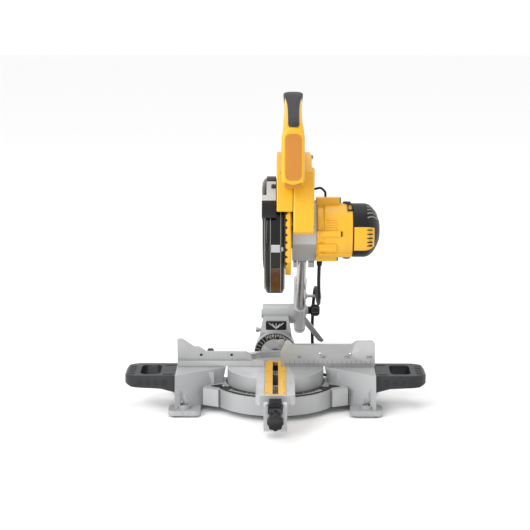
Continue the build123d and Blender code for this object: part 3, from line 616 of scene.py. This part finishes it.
def screw(x, y, z, radius, axis="y", sign=-1, depth=2.2):
    """Pan head with a cross recess, facing along the axis."""
    head = turned([(0.0, 0.0), (0.0, radius), (0.55 * depth, radius), (depth, 0.62 * radius), (depth, 0.0)],
                  (0, 0), "z", steps=24)
    slots = merged(block(-radius * 0.6, radius * 0.6, -radius * 0.13, radius * 0.13, depth - 0.2,
                         depth + 0.12), block(-radius * 0.13, radius * 0.13, -radius * 0.6, radius * 0.6,
                                              depth - 0.2, depth + 0.12))
    direction = {"x": Vector((sign, 0, 0)), "y": Vector((0, sign, 0)), "z": Vector((0, 0, sign))}[axis]
    turn = Matrix.Translation((x, y, z)) @ direction.to_track_quat("Z", "Y").to_matrix().to_4x4()
    return [([tuple(turn @ Vector(v)) for v in part[0]], part[1]) for part in (head, slots)]


def screw_set(name, places, body, lifted=False, key="steel"):
    heads, slots = [], []
    for place in places:
        head, slot = screw(*place)
        heads.append(head)
        slots.append(slot)
    piece(name, merged(*heads), key, body, lifted, 0.25, 2)
    piece(name + "_recess", merged(*slots), "black_plastic", body, lifted)


def add_screws():
    """Housing screws on the right side and one in front, left of the seam."""
    places = []
    for y, z in ((-276, 262), (-258, 306), (-196, 318), (-132, 268), (-150, 236), (-215, 246)):
        places.append((71.6, y, z, 4.2, "x", 1))
    screw_set("housing_screws", places, "head", True, "black_plastic")
    screw_set("housing_front_screw", [(9.5, -300.5, 247, 2.6, "y", -1)], "head", True, "black_plastic")


# ---- guards ------------------------------------------------------------------------------------------
HOOD_R = 118.4         # just outside the fixed hood


def arc_side(radius, start, end, steps):
    """Side-view arc about the spindle. Angles run from the front (0) down under the axis (90)."""
    points = []
    for i in range(steps + 1):
        a = radians(start + (end - start) * i / steps)
        points.append((BLADE.y - radius * cos(a), BLADE.z - radius * sin(a)))
    return points


def guard_turned(profile, start, end, steps=56):
    """Profile turned about the spindle between two of the angles above."""
    return turned(profile, (BLADE.y, BLADE.z), "x", 180 + start, 180 + end, steps)


def add_upper_guard():
    """Black hood over the blade, with a notched yellow wall on the gear-case side."""
    hood = [(-25.5, 26), (-25.5, 107), (-24.4, 113.5), (-20, 118), (17, 118), (19, 117.4), (19, 116.2),
            (-19.4, 116.2), (-22.8, 112.6), (-23.8, 106.5), (-23.8, 26)]
    on_head("guard_hood", guard_turned(hood, -190, -6), "guard_smoke", 0.8, 2,
            replaces=("upper_blade_guard",))
    wall = [(19.2, 25), (19.2, 114), (21.5, 118.2), (28.5, 118.6), (31, 115), (31, 25)]
    on_head("guard_wall", guard_turned(wall, -190, 51), "yellow_plastic", 0.8, 2)
    front = arc_side(117.5, 40, 51, 4)
    corner = BLADE.y - 17
    skirt = front + [(corner, TABLE_Z + 5.6), (corner, TABLE_Z + 21), (BLADE.y - 30, BLADE.z - 30)]
    on_head("guard_wall_foot", prism(skirt, 19.4, 30.8), "yellow_plastic", 0.8, 2)
    rims = []
    for x, r in ((-25.3, 109), (-25.9, 92), (-25.9, 58)):
        rims.append(tube([(x, y, z) for y, z in arc_side(r, -186, -10, 40)], 1.1, 8))
    on_head("guard_hood_rims", merged(*rims), "grey_rim")
    notches = []
    for i in range(9):
        at = -4 + 7.0 * i
        y, z = arc_side(HOOD_R, at, at + 1, 1)[0]
        cut = block(18.6, 22.4, y - 1.6, y + 2.6, z - 2.0, z + 2.0)
        notches.append(turned_about(cut, Vector((0, y, z)), at))
    on_head("guard_wall_notches", merged(*notches), "black_plastic", 0.4, 2)
    ribs = []
    for i in range(7):
        at = -168 + 24 * i
        inner, outer = arc_side(60, at, at + 1, 1)[0], arc_side(104, at, at + 1, 1)[0]
        ribs.append(tube([(-25.9, *inner), (-25.9, *outer)], 1.3, 8))
    on_head("guard_hood_ribs", merged(*ribs), "guard_smoke")
    screw_set("guard_hood_bolts", [(-25.4, BLADE.y + 34, BLADE.z + 62, 4.6, "x", -1),
                                   (-25.4, BLADE.y - 40, BLADE.z + 58, 4.6, "x", -1)], "head", True)


def add_lower_guard():
    """Turning guard with pale edges, an amber window and a pale stop in front."""
    shell = [(-21.5, 25), (-21.5, 104), (-19, 111.5), (-15, 113.6), (11, 113.6), (15, 112), (17, 106),
             (17, 25), (15.2, 25), (15.2, 103), (11, 110.6), (-15, 110.6), (-19.6, 103), (-19.6, 25)]
    piece("swing_guard", guard_turned(shell, -4, 184), "guard_smoke", "lower_guard_body", True, 0.5, 2,
          replaces=("lower_guard",))
    edges = []
    for x in (-21.3, 16.8):
        edges.append(tube([(x, y, z) for y, z in arc_side(105, -3, 183, 44)], 1.3, 8))
    for at in (-4, 184):
        lip = [(x, *arc_side(112.8, at, at + 1, 1)[0]) for x in (-18, -6, 6, 14)]
        edges.append(tube(lip, 1.3, 8))
    piece("swing_guard_rims", merged(*edges), "grey_rim", "lower_guard_body", True)
    window = [(-8, 113.4), (-8, 114.3), (8, 114.3), (8, 113.4)]
    piece("swing_guard_window", guard_turned(window, 58, 96, 20), "amber_window", "lower_guard_body", True)
    pale = [guard_turned([(-8.6, 113.2), (-8.6, 115.2), (8.6, 115.2), (8.6, 113.2)], 33.5, 41, 6),
            guard_turned([(11.4, 112.6), (11.4, 114.2), (15, 113.4), (15, 112)], 36, 40, 4)]
    piece("swing_guard_stop", merged(*pale), "cast_alloy", "lower_guard_body", True, 0.4, 2)
    slits = []
    for x in (-10, 10):
        slits.append(tube([(x, y, z) for y, z in arc_side(113.8, -2, 100, 34)], 0.9, 8))
    for i in range(6):
        at = 30 + 22 * i
        slits.append(tube([(-21.6, *arc_side(62, at, at + 1, 1)[0]),
                           (-21.6, *arc_side(98, at + 6, at + 7, 1)[0])], 0.9, 8))
    piece("swing_guard_ribs", merged(*slits), "grey_rim", "lower_guard_body", True)


def add_guard_bracket():
    """Hanger over the guard: black strap and block, pale frame with a square bolt, pale flange."""
    x0, x1 = -17.8, 1.0

    def band(a, b, inner, outer, left=x0, right=x1):
        steps = max(2, int(abs(b - a) / 4))
        return prism(arc_side(outer, a, b, steps) + list(reversed(arc_side(inner, a, b, steps))), left,
                     right)

    strap = [band(-100, -43, HOOD_R, 122), band(-9, 8, 118.5, 123.5, -27, x1), band(-43, -37, HOOD_R, 126)]
    on_head("guard_hanger", merged(*strap), "black_plastic", 0.8, 2, replaces=("guard_bracket",))
    frame_parts = [band(-37, -15, HOOD_R, 124), band(-15, -9, HOOD_R, 125.5, -27, x1)]
    on_head("guard_hanger_frame", merged(*frame_parts), "cast_alloy", 0.6, 2)
    square = band(-29.5, -24.5, 123.5, 126.5, -8.5, 0.2)
    on_head("guard_square_bolt", square, "black_plastic", 0.6, 2)


# ---- motor -------------------------------------------------------------------------------------------
def motor_block(x0, x1, r0, r1, half, angle):
    """A bar along the motor, standing on its surface at an angle measured up from the front."""
    bar = block(x0, x1, MOTOR.y - r1, MOTOR.y - r0, MOTOR.z - half, MOTOR.z + half)
    return turned_about(bar, Vector((0, MOTOR.y, MOTOR.z)), -angle)


def add_motor():
    """Yellow barrel with its ledges, dark ledge ends, belt clip and ribs."""
    r = MOTOR_R
    barrel = [(79, 12), (79, 46), (83, 50.5), (94, 50.5), (97, r - 0.6), (122, r), (124, r + 1.0),
              (138, r + 1.0), (140, r - 0.4), (151.6, r - 0.4), (151.6, 12)]
    on_head("motor_barrel", turned(barrel, (MOTOR.y, MOTOR.z), steps=72), "yellow_plastic", 1.2, 3,
            replaces=("motor_housing",))
    bars = [motor_block(80, 127, 46, 66, 8, 54), motor_block(80, 128, 46, 58, 5.5, -34),
            motor_block(80, 122, 44, 61, 14, -126), motor_block(84, 150, 46, 55, 9, -96),
            motor_block(84, 120, 46, 56, 9, -66), motor_block(88, 140, 46, 55.5, 9, 100),
            motor_block(88, 140, 46, 55.5, 9, 190)]
    on_head("motor_bars", merged(*bars), "yellow_plastic", 1.8, 4)
    ends = [motor_block(126.4, 129, 56, 65.4, 7.4, 54), motor_block(127.4, 130.2, 50, 57.6, 5, -34),
            motor_block(121.4, 124, 52, 60.4, 13, -126)]
    on_head("motor_bar_ends", merged(*ends), "black_plastic", 0.8, 3)
    clip = []
    for x in (141.5, 149.5):
        clip.append(motor_block(x, x + 1.8, 50, 57, 11, 30))
    clip.append(motor_block(141.5, 151.3, 54, 57, 1.4, 41.2))
    clip.append(motor_block(141.5, 151.3, 54, 57, 1.4, 18.8))
    on_head("motor_clip", merged(*clip), "black_plastic", 0.6, 2)
    ribs = []
    for i in range(5):
        ribs.append(motor_block(99, 121, r - 2, r + 1.3, 1.1, -4 - 5 * i))
    on_head("motor_ribs", merged(*ribs), "yellow_plastic", 0.5, 2)
    places = []
    for at in (40, 130, 220, 310):
        a = radians(at)
        places.append((82.6, MOTOR.y + 47 * cos(a), MOTOR.z + 47 * sin(a), 2.6, "x", 1))
    screw_set("motor_screws", places, "head", True)
    add_brushes()
    add_end_cap()


def add_brushes():
    """Slotted covers over the two brushes, above and below the barrel as the head rests."""
    parts, slots = [], []
    for at in (-54, 126):
        cap = turned([(0, 0.0), (0, 8.0), (2.2, 8.0), (3.4, 6.8), (3.4, 0.0)], (0, 0), "z", steps=28)
        slit = block(-5.6, 5.6, -0.9, 0.9, 3.2, 3.6)
        for target, part in ((parts, cap), (slots, slit)):
            turn = Matrix.Translation((141, MOTOR.y, MOTOR.z)) @ Matrix.Rotation(radians(at), 4, "X")
            turn = turn @ Matrix.Translation((0, -MOTOR_R - 0.2, 0)) @ Matrix.Rotation(radians(90), 4, "X")
            target.append(([tuple(turn @ Vector(v)) for v in part[0]], part[1]))
    on_head("brush_covers", merged(*parts), "black_plastic", 0.4, 2, replaces=("brush_caps",))
    on_head("brush_cover_slots", merged(*slots), "grey_rim")


def cap_radius(x):
    """Radius of the domed end cap at a distance along the motor."""
    share = min(1.0, max(0.0, (x - 172) / 33))
    return MOTOR_R * (1 - 0.62 * share ** 2.6)


def add_end_cap():
    """Black dome with a vented yellow band in front."""
    steps = 14
    dome = [(152, 40), (152, MOTOR_R - 1), (153, MOTOR_R)]
    for i in range(steps + 1):
        x = 156 + (205 - 156) * i / steps
        dome.append((x, cap_radius(x) - (1.2 if i == steps else 0)))
    dome += [(205, 10), (198, 10), (160, 30)]
    on_head("motor_dome", turned(dome, (MOTOR.y, MOTOR.z), steps=72), "black_plastic",
            replaces=("motor_end_cap",))
    band = []
    for i in range(9):
        x = 154 + 40 * i / 8
        band.append((x, cap_radius(x) + 1.1))
    for i in range(8, -1, -1):
        x = 154 + 40 * i / 8
        band.append((x, cap_radius(x) - 1.5))
    shell = turned(band, (MOTOR.y, MOTOR.z), "x", 180 + 20, 180 + 74, 26)
    on_head("dome_band", shell, "yellow_plastic", 0.5, 2)
    vents = []
    for i in range(5):
        at = 26 + 9.0 * i
        r = cap_radius(180) + 1.0
        vents.append(motor_block(172, 190, r - 3, r + 0.35, 1.1, -at))
    on_head("dome_band_vents", merged(*vents), "black_plastic", 0.4, 2)
    slots = []
    for i in range(7):
        at = -32 + 11 * i
        path = []
        for k in range(5):
            x = 180 + 5 * k
            a = radians(180 - at - 3.5 * k)
            path.append((x, MOTOR.y + (cap_radius(x) + 0.1) * cos(a),
                         MOTOR.z + (cap_radius(x) + 0.1) * sin(a)))
        if at > -2:
            slots.append(tube(path, 1.3, 8))
    on_head("dome_slots", merged(*slots), "grey_rim")
    rings = [tube([(205.0, MOTOR.y + u, MOTOR.z + v) for u, v in circle(0, 0, r, 32)], 0.8, 8, closed=True)
             for r in (9, 14)]
    on_head("dome_rings", merged(*rings), "black_plastic")


# ---- base details ------------------------------------------------------------------------------------
def numeral(text, x, y, z, size):
    """A scale figure standing on a front face."""
    data = bpy.data.curves.new("figure", "FONT")
    data.body = text
    data.size = size
    data.extrude = 0.08
    data.align_x = "CENTER"
    holder = bpy.data.objects.new("figure", data)
    bpy.context.scene.collection.objects.link(holder)
    mesh = bpy.data.meshes.new_from_object(holder)
    turn = Matrix.Translation((x, y, z)) @ Matrix.Rotation(radians(90), 4, "X")
    part = ([tuple(turn @ v.co) for v in mesh.vertices], [tuple(p.vertices) for p in mesh.polygons])
    bpy.data.objects.remove(holder)
    bpy.data.curves.remove(data)
    bpy.data.meshes.remove(mesh)
    return part


def add_fence_details():
    """Rulers, figures and hole rims of both fences."""
    face_y = low_corner("fence_casting").y
    bottom = TABLE_Z + 1.0
    marks = []
    for x in range(20, 206, 2):
        tall = 7.0 if x % 10 == 0 else (5.0 if x % 10 == 5 else 3.2)
        marks.append(block(x - 0.3, x + 0.3, face_y - 0.12, face_y + 0.2, bottom + 1,
                           bottom + 1 + 1.6 * tall))
    piece("fence_ruler", merged(*marks), "mark_dark", "base")
    figures = []
    for x in (50, 100, 150, 200):
        figures.append(numeral(str(x), min(x, 197), face_y - 0.1, bottom + 17, 8.0))
    piece("fence_figures", merged(*figures), "mark_dark", "base")
    left_y = low_corner("left_fence").y
    marks = []
    for x in range(-200, -58, 2):
        tall = 6.0 if x % 10 == 0 else 3.2
        marks.append(block(x - 0.22, x + 0.22, left_y - 0.12, left_y + 0.2, 93.4, 93.4 + tall))
    piece("left_fence_ruler", merged(*marks), "mark_dark", "left_fence_body")
    rings = []
    for x in (93.5, 157):
        path = [(x + u, face_y - 0.1, 107 + v) for u, v in circle(0, 0, 3.9, 24)]
        rings.append(tube(path, 0.5, 8, closed=True))
    piece("fence_hole_rims", merged(*rings), "machined_alloy", "base")
    rings = []
    for x in (-156, -92):
        path = [(x + u, left_y - 0.1, 105 + v) for u, v in circle(0, 0, 3.9, 24)]
        rings.append(tube(path, 0.5, 8, closed=True))
    piece("left_fence_hole_rims", merged(*rings), "machined_alloy", "left_fence_body")


def add_table_details():
    """Rulers on the wings, mitre marks, turned rings on the table, and screws."""
    marks = []
    for side in (-1, 1):
        for i in range(46):
            x = side * (112 + 2 * i)
            tall = 9.0 if i % 5 == 4 else 5.0
            marks.append(block(x - 0.25, x + 0.25, -3 - tall, -3, TABLE_Z - 0.05, TABLE_Z + 0.12))
    piece("wing_ruler", merged(*marks), "mark_dark", "base")
    ring_z = high_corner("mitre_scale_plate").z
    marks = []
    for angle in range(-50, 51):
        inner = 112 if angle % 10 == 0 else (116 if angle % 5 == 0 else 120)
        mark = block(inner, 126, -0.28, 0.28, ring_z - 0.1, ring_z + 0.15)
        marks.append(turned_about(mark, Vector((0, 0, 0)), angle - 90, "Z"))
    piece("mitre_marks", merged(*marks), "mark_white", "base")
    rings = []
    for radius in (58, 76, 94):
        path = [(u, v, TABLE_Z + 0.02) for u, v in circle(0, 0, radius, 60, 190, 250)]
        rings.append(tube(path, 0.28, 6))
        path = [(u, v, TABLE_Z + 0.02) for u, v in circle(0, 0, radius, 60, 290, 350)]
        rings.append(tube(path, 0.28, 6))
    piece("table_rings", merged(*rings), "cast_alloy", "turntable")
    places = []
    for y in (-198, -120, -40, 40):
        for side in (-17, 17):
            places.append((side, y, TABLE_Z - 0.9, 2.9, "z", 1, 1.1))
    screw_set("kerf_screws", places, "turntable")
    places = [(side * 107, -49, ring_z - 0.2, 4.2, "z", 1, 2.2) for side in (-1, 1)]
    screw_set("scale_screws", places, "base")


def add_handle_ribs():
    """Raised bars beside the hand hole of each carry handle."""
    low, high = low_corner("right_carry_handle"), high_corner("right_carry_handle")
    for side, name in ((-1, "left"), (1, "right")):
        bars = []
        for i in range(5):
            y = low.y + 16 + 14 * i
            x0, x1 = sorted((side * (high.x - 21), side * (high.x - 8)))
            bars.append(prism(rounded(x0, x1, y, y + 4.5, 2.0, 4), high.z - 1.2, high.z + 1.0, "z"))
        x0, x1 = sorted((side * (low.x + 5), side * (low.x + 26)))
        for y in (low.y + 10, high.y - 18):
            bars.append(prism(rounded(x0, x1, y, y + 7, 2.5, 4), high.z - 1.2, high.z + 1.0, "z"))
        piece(name + "_handle_ribs", merged(*bars), "slate_plastic", "base", width=0.6)
        front = []
        for i in range(4):
            x = side * (low.x + 24 + 17 * i)
            front.append(prism(rounded(x - 5.5, x + 5.5, 57, 69, 3.0, 4), low.y - 0.9, low.y + 1.5, "y"))
        piece(name + "_handle_pads", merged(*front), "slate_plastic", "base", width=0.5)


def add_feet_details():
    """Pads on the front of the feet and washers in the bench-bolt seats."""
    bars = []
    for sx in (-1, 1):
        for i in range(3):
            x = sx * (166 + 14 * i)
            bars.append(prism(rounded(x - 4.5, x + 4.5, 5.0, 11.5, 2.5, 4), -107.2, -104, "y"))
    piece("foot_pads", merged(*bars), "cast_alloy", "base", width=0.6)
    washers = []
    for x in (-187, 187):
        for y in (-82, 82):
            ring = [(20.0, 5.0), (20.0, 8.6), (21.4, 8.6), (21.4, 5.0)]
            washers.append(turned(ring, (x, y), "z", steps=28))
    piece("foot_washers", merged(*washers), "steel", "base", width=0.2)


def add_nose_details():
    """Ridges on the latch, face plate and cap of the mitre lock."""
    low, high = low_corner("mitre_latch"), high_corner("mitre_latch")
    bars = []
    for i in range(4):
        y = low.y + 4 + 4.2 * i
        z = high.z - 4.2 + 0.95 * i
        bars.append(tube([(-10, y, z), (0, y, z + 0.5), (10, y, z)], 0.9, 8))
    piece("latch_ridges", merged(*bars), "black_plastic", "latch_body")
    front = low_corner("mitre_lock_knob").y
    cap = [(front + 0.5, 0.0), (front + 0.5, 11), (front - 0.9, 10), (front - 1.6, 7), (front - 1.7, 0.0)]
    cap = [(y + 1.8, r) for y, r in cap]
    piece("mitre_knob_cap", turned(cap, (KNOB.x, KNOB.z), "y", steps=40), "soft_grip", "mitre_knob_body")
    flutes = []
    for i in range(8):
        a = 2 * pi * (i + 0.5) / 8
        x, z = KNOB.x + 12.6 * cos(a), KNOB.z + 12.6 * sin(a)
        flutes.append(tube([(x, front + 2.5, z), (x, front + 24, z)], 1.4, 8))
    piece("mitre_knob_flutes", merged(*flutes), "soft_grip", "mitre_knob_body")
    plate = rounded(-19.5, 19.5, 20, 74, 6)
    nose_y = low_corner("turntable_casting").y
    rim = [(u, nose_y - 0.1, v) for u, v in plate]
    piece("nose_plate_edge", tube([(u * 0.98, y + 0.4, v) for u, y, v in rim], 0.9, 8, closed=True),
          "cast_alloy", "turntable")


# ---- tilt bearing and carriage details ---------------------------------------------------------------
def add_tilt_details():
    """Ribbed dark cover left of the tilt bearing, tilt marks and a round boss."""
    y = low_corner("bevel_scale").y
    marks = []
    for angle in range(-30, 61, 5):
        inner = 35.5 if angle % 15 == 0 else 38.5
        mark = block(-0.4, 0.4, y - 0.15, y + 0.2, TABLE_Z + inner, TABLE_Z + 43)
        marks.append(turned_about(mark, Vector((0, 0, TABLE_Z)), angle, "Y"))
    piece("tilt_marks", merged(*marks), "mark_white", "turntable")
    ribs = []
    for i in range(8):
        a = radians(98 + 11 * i)
        inner = (34 * cos(a), TABLE_Z + 34 * sin(a))
        outer = (45.2 * cos(a), TABLE_Z + 45.2 * sin(a))
        if outer[1] > 88:
            ribs.append(tube([(inner[0], y - 0.3, inner[1]), (outer[0], y - 0.3, outer[1])], 0.9, 8))
    piece("tilt_fan_ribs", merged(*ribs), "grey_rim", "turntable")
    cover = rounded(-21, 24, 133.5, 152, 3)
    piece("tilt_cover", prism(cover, y - 2.5, y + 8, "y"), "black_plastic", "bevel_arm", width=1.0)
    bars = []
    for side in (-1, 1):
        for reach, height in ((16, 149), (9, 148)):
            bars.append(tube([(1.5, y - 2.8, 137), (1.5 + side * reach, y - 2.8, height)], 0.9, 8))
    bars.append(tube([(1.5, y - 2.8, 136), (1.5, y - 2.8, 149)], 0.9, 8))
    piece("tilt_cover_ribs", merged(*bars), "cast_alloy", "bevel_arm")
    boss = [(y - 1.6, 0.0), (y - 1.6, 6.0), (y - 0.9, 8.4), (y + 0.4, 9.0), (y + 0.4, 0.0)]
    piece("tilt_boss", turned(boss, (13, TABLE_Z + 24), "y", steps=32), "cast_alloy", "turntable",
          width=0.3)


def add_rail_details():
    """Wiper rings where the rails enter the carriage, clamp screws and the lock knob's grip."""
    parts = []
    rail_x = middle("upper_rail").x
    for z, y in ((LOWER_RAIL_Z, 113.0), (UPPER_RAIL_Z, 97.0)):
        ring = [(y - 1.6, 9.3), (y - 1.6, 12.2), (y, 13.4), (y + 0.8, 13.4), (y + 0.8, 9.3)]
        parts.append(turned(ring, (rail_x, z), "y", steps=36))
    piece("rail_wipers", merged(*parts), "cast_alloy", "carriage", True)
    places = [(64.6, 150, 169, 3.4, "x", 1), (64.6, 186, 169, 3.4, "x", 1)]
    screw_set("carriage_screws", places, "carriage", True)
    centre = Vector((88, 135, LOWER_RAIL_Z))
    profile = [(66.5, 0.0), (66.5, 8.5), (74.5, 8.5), (75.5, 7.0), (77, 10.2), (81, 12.4), (86, 13.0),
               (91, 12.6), (94.5, 10.8), (96.4, 7.6), (96.8, 0.0)]
    piece("rail_knob_ball", turned(profile, (centre.y, centre.z), steps=40), "black_plastic",
          "rail_knob_body", True, 0.3, 2, replaces=("rail_lock_knob",))
    dots = []
    for i in range(8):
        at = 45 * i
        groove = tube([(79, centre.y - 12.0, centre.z), (86, centre.y - 13.1, centre.z),
                       (92.5, centre.y - 12.3, centre.z)], 0.9, 8)
        dots.append(turned_about(groove, centre, at))
    piece("rail_knob_ribs", merged(*dots), "soft_grip", "rail_knob_body", True)
    slots = []
    for z in (151.0, 163.0):
        slots.append(prism(rounded(64, 76, z, z + 7, 2.5, 4), -251.4, -249.5, "y"))
    on_head("gear_case_slots", merged(*slots), "black_plastic")


def add_relief():
    """Ribbed sleeve over the strain relief."""
    start, end = Vector((89, -96, 343)), Vector(CORD_EXIT)
    rings = []
    for i in range(7):
        share = (i + 0.6) / 7.6
        p = start.lerp(end, share)
        q = start.lerp(end, share + 0.05)
        r = 7.5 + (4.6 - 7.5) * share
        rings.append(tube([p, q], r + 0.5, 20))
    piece("relief_rings", merged(*rings), "black_rubber", "head", width=0.3)


def add_head_details():
    add_handle()
    add_upper_guard()
    add_lower_guard()
    add_guard_bracket()
    add_motor()
    add_relief()


# ---- carried-over nodes ------------------------------------------------------------------------------
def dress_nodes():
    """Each CAD node that stays gets its slot's material and slightly broken edges."""
    slots = {row["node"]: row["material_slot"] for row in frame["record"]["subparts"]}
    fine = {"kerf_plate_screws", "fence_bolts", "brush_caps", "saw_blade", "mitre_pointer", "return_spring",
            "armature", "spindle", "cord_at_arm", "mitre_scale_plate"}
    for name, obj in NODES.items():
        key = slots[name]
        if not obj.material_slots:
            obj.data.materials.append(look(key))
        for slot in obj.material_slots:
            slot.material = look(key)
        weld = obj.modifiers.new("weld", "WELD")
        weld.merge_threshold = 0.000002
        soften(obj, 0.15 if name in fine else 0.6, 2, 0, 40)


# ---- stage -------------------------------------------------------------------------------------------
def add_stage():
    """Pale floor just under the feet."""
    mesh = bpy.data.meshes.new("floor")
    size = 12.0
    mesh.from_pydata([(-size, -size, -0.0006), (size, -size, -0.0006), (size, size, -0.0006),
                      (-size, size, -0.0006)], [], [(0, 1, 2, 3)])
    floor = bpy.data.objects.new("floor", mesh)
    bpy.context.scene.collection.objects.link(floor)
    floor_look = bpy.data.materials.new("floor")
    floor_look.use_nodes = True
    shader = floor_look.node_tree.nodes["Principled BSDF"]
    shader.inputs["Base Color"].default_value = (0.93, 0.93, 0.93, 1)
    shader.inputs["Roughness"].default_value = 0.9
    shader.inputs["Specular IOR Level"].default_value = 0.1
    mesh.materials.append(floor_look)


def area_light(name, place, target, size, power):
    data = bpy.data.lights.new(name, "AREA")
    data.shape = "RECTANGLE"
    data.size, data.size_y = size
    data.energy = power
    light = bpy.data.objects.new(name, data)
    light.location = place
    light.rotation_euler = (Vector(target) - Vector(place)).to_track_quat("-Z", "Y").to_euler()
    bpy.context.scene.collection.objects.link(light)


def add_lights():
    """White surroundings, with soft lights that are stronger from the left."""
    world = bpy.data.worlds.new("studio")
    bpy.context.scene.world = world
    world.use_nodes = True
    world.node_tree.nodes["Background"].inputs["Color"].default_value = (1, 1, 1, 1)
    world.node_tree.nodes["Background"].inputs["Strength"].default_value = 1.03
    centre = (0, 0, 0.3)
    area_light("key", (-1.6, -2.0, 2.6), centre, (1.4, 1.4), 34)
    area_light("top", (0.2, 0.3, 3.0), centre, (2.2, 2.2), 16)
    area_light("near_left", (-1.0, -1.0, 0.7), (-0.1, 0, 0.15), (0.7, 0.7), 7)
    area_light("right", (2.6, -0.6, 1.5), centre, (1.0, 1.6), 5)
    view = bpy.context.scene.view_settings
    view.view_transform = "Standard"
    view.look = "None"


add_camera()
add_cords()
dress_nodes()
add_head_details()
add_fence_details()
add_table_details()
add_handle_ribs()
add_feet_details()
add_nose_details()
add_tilt_details()
add_rail_details()
add_stage()
add_lights()
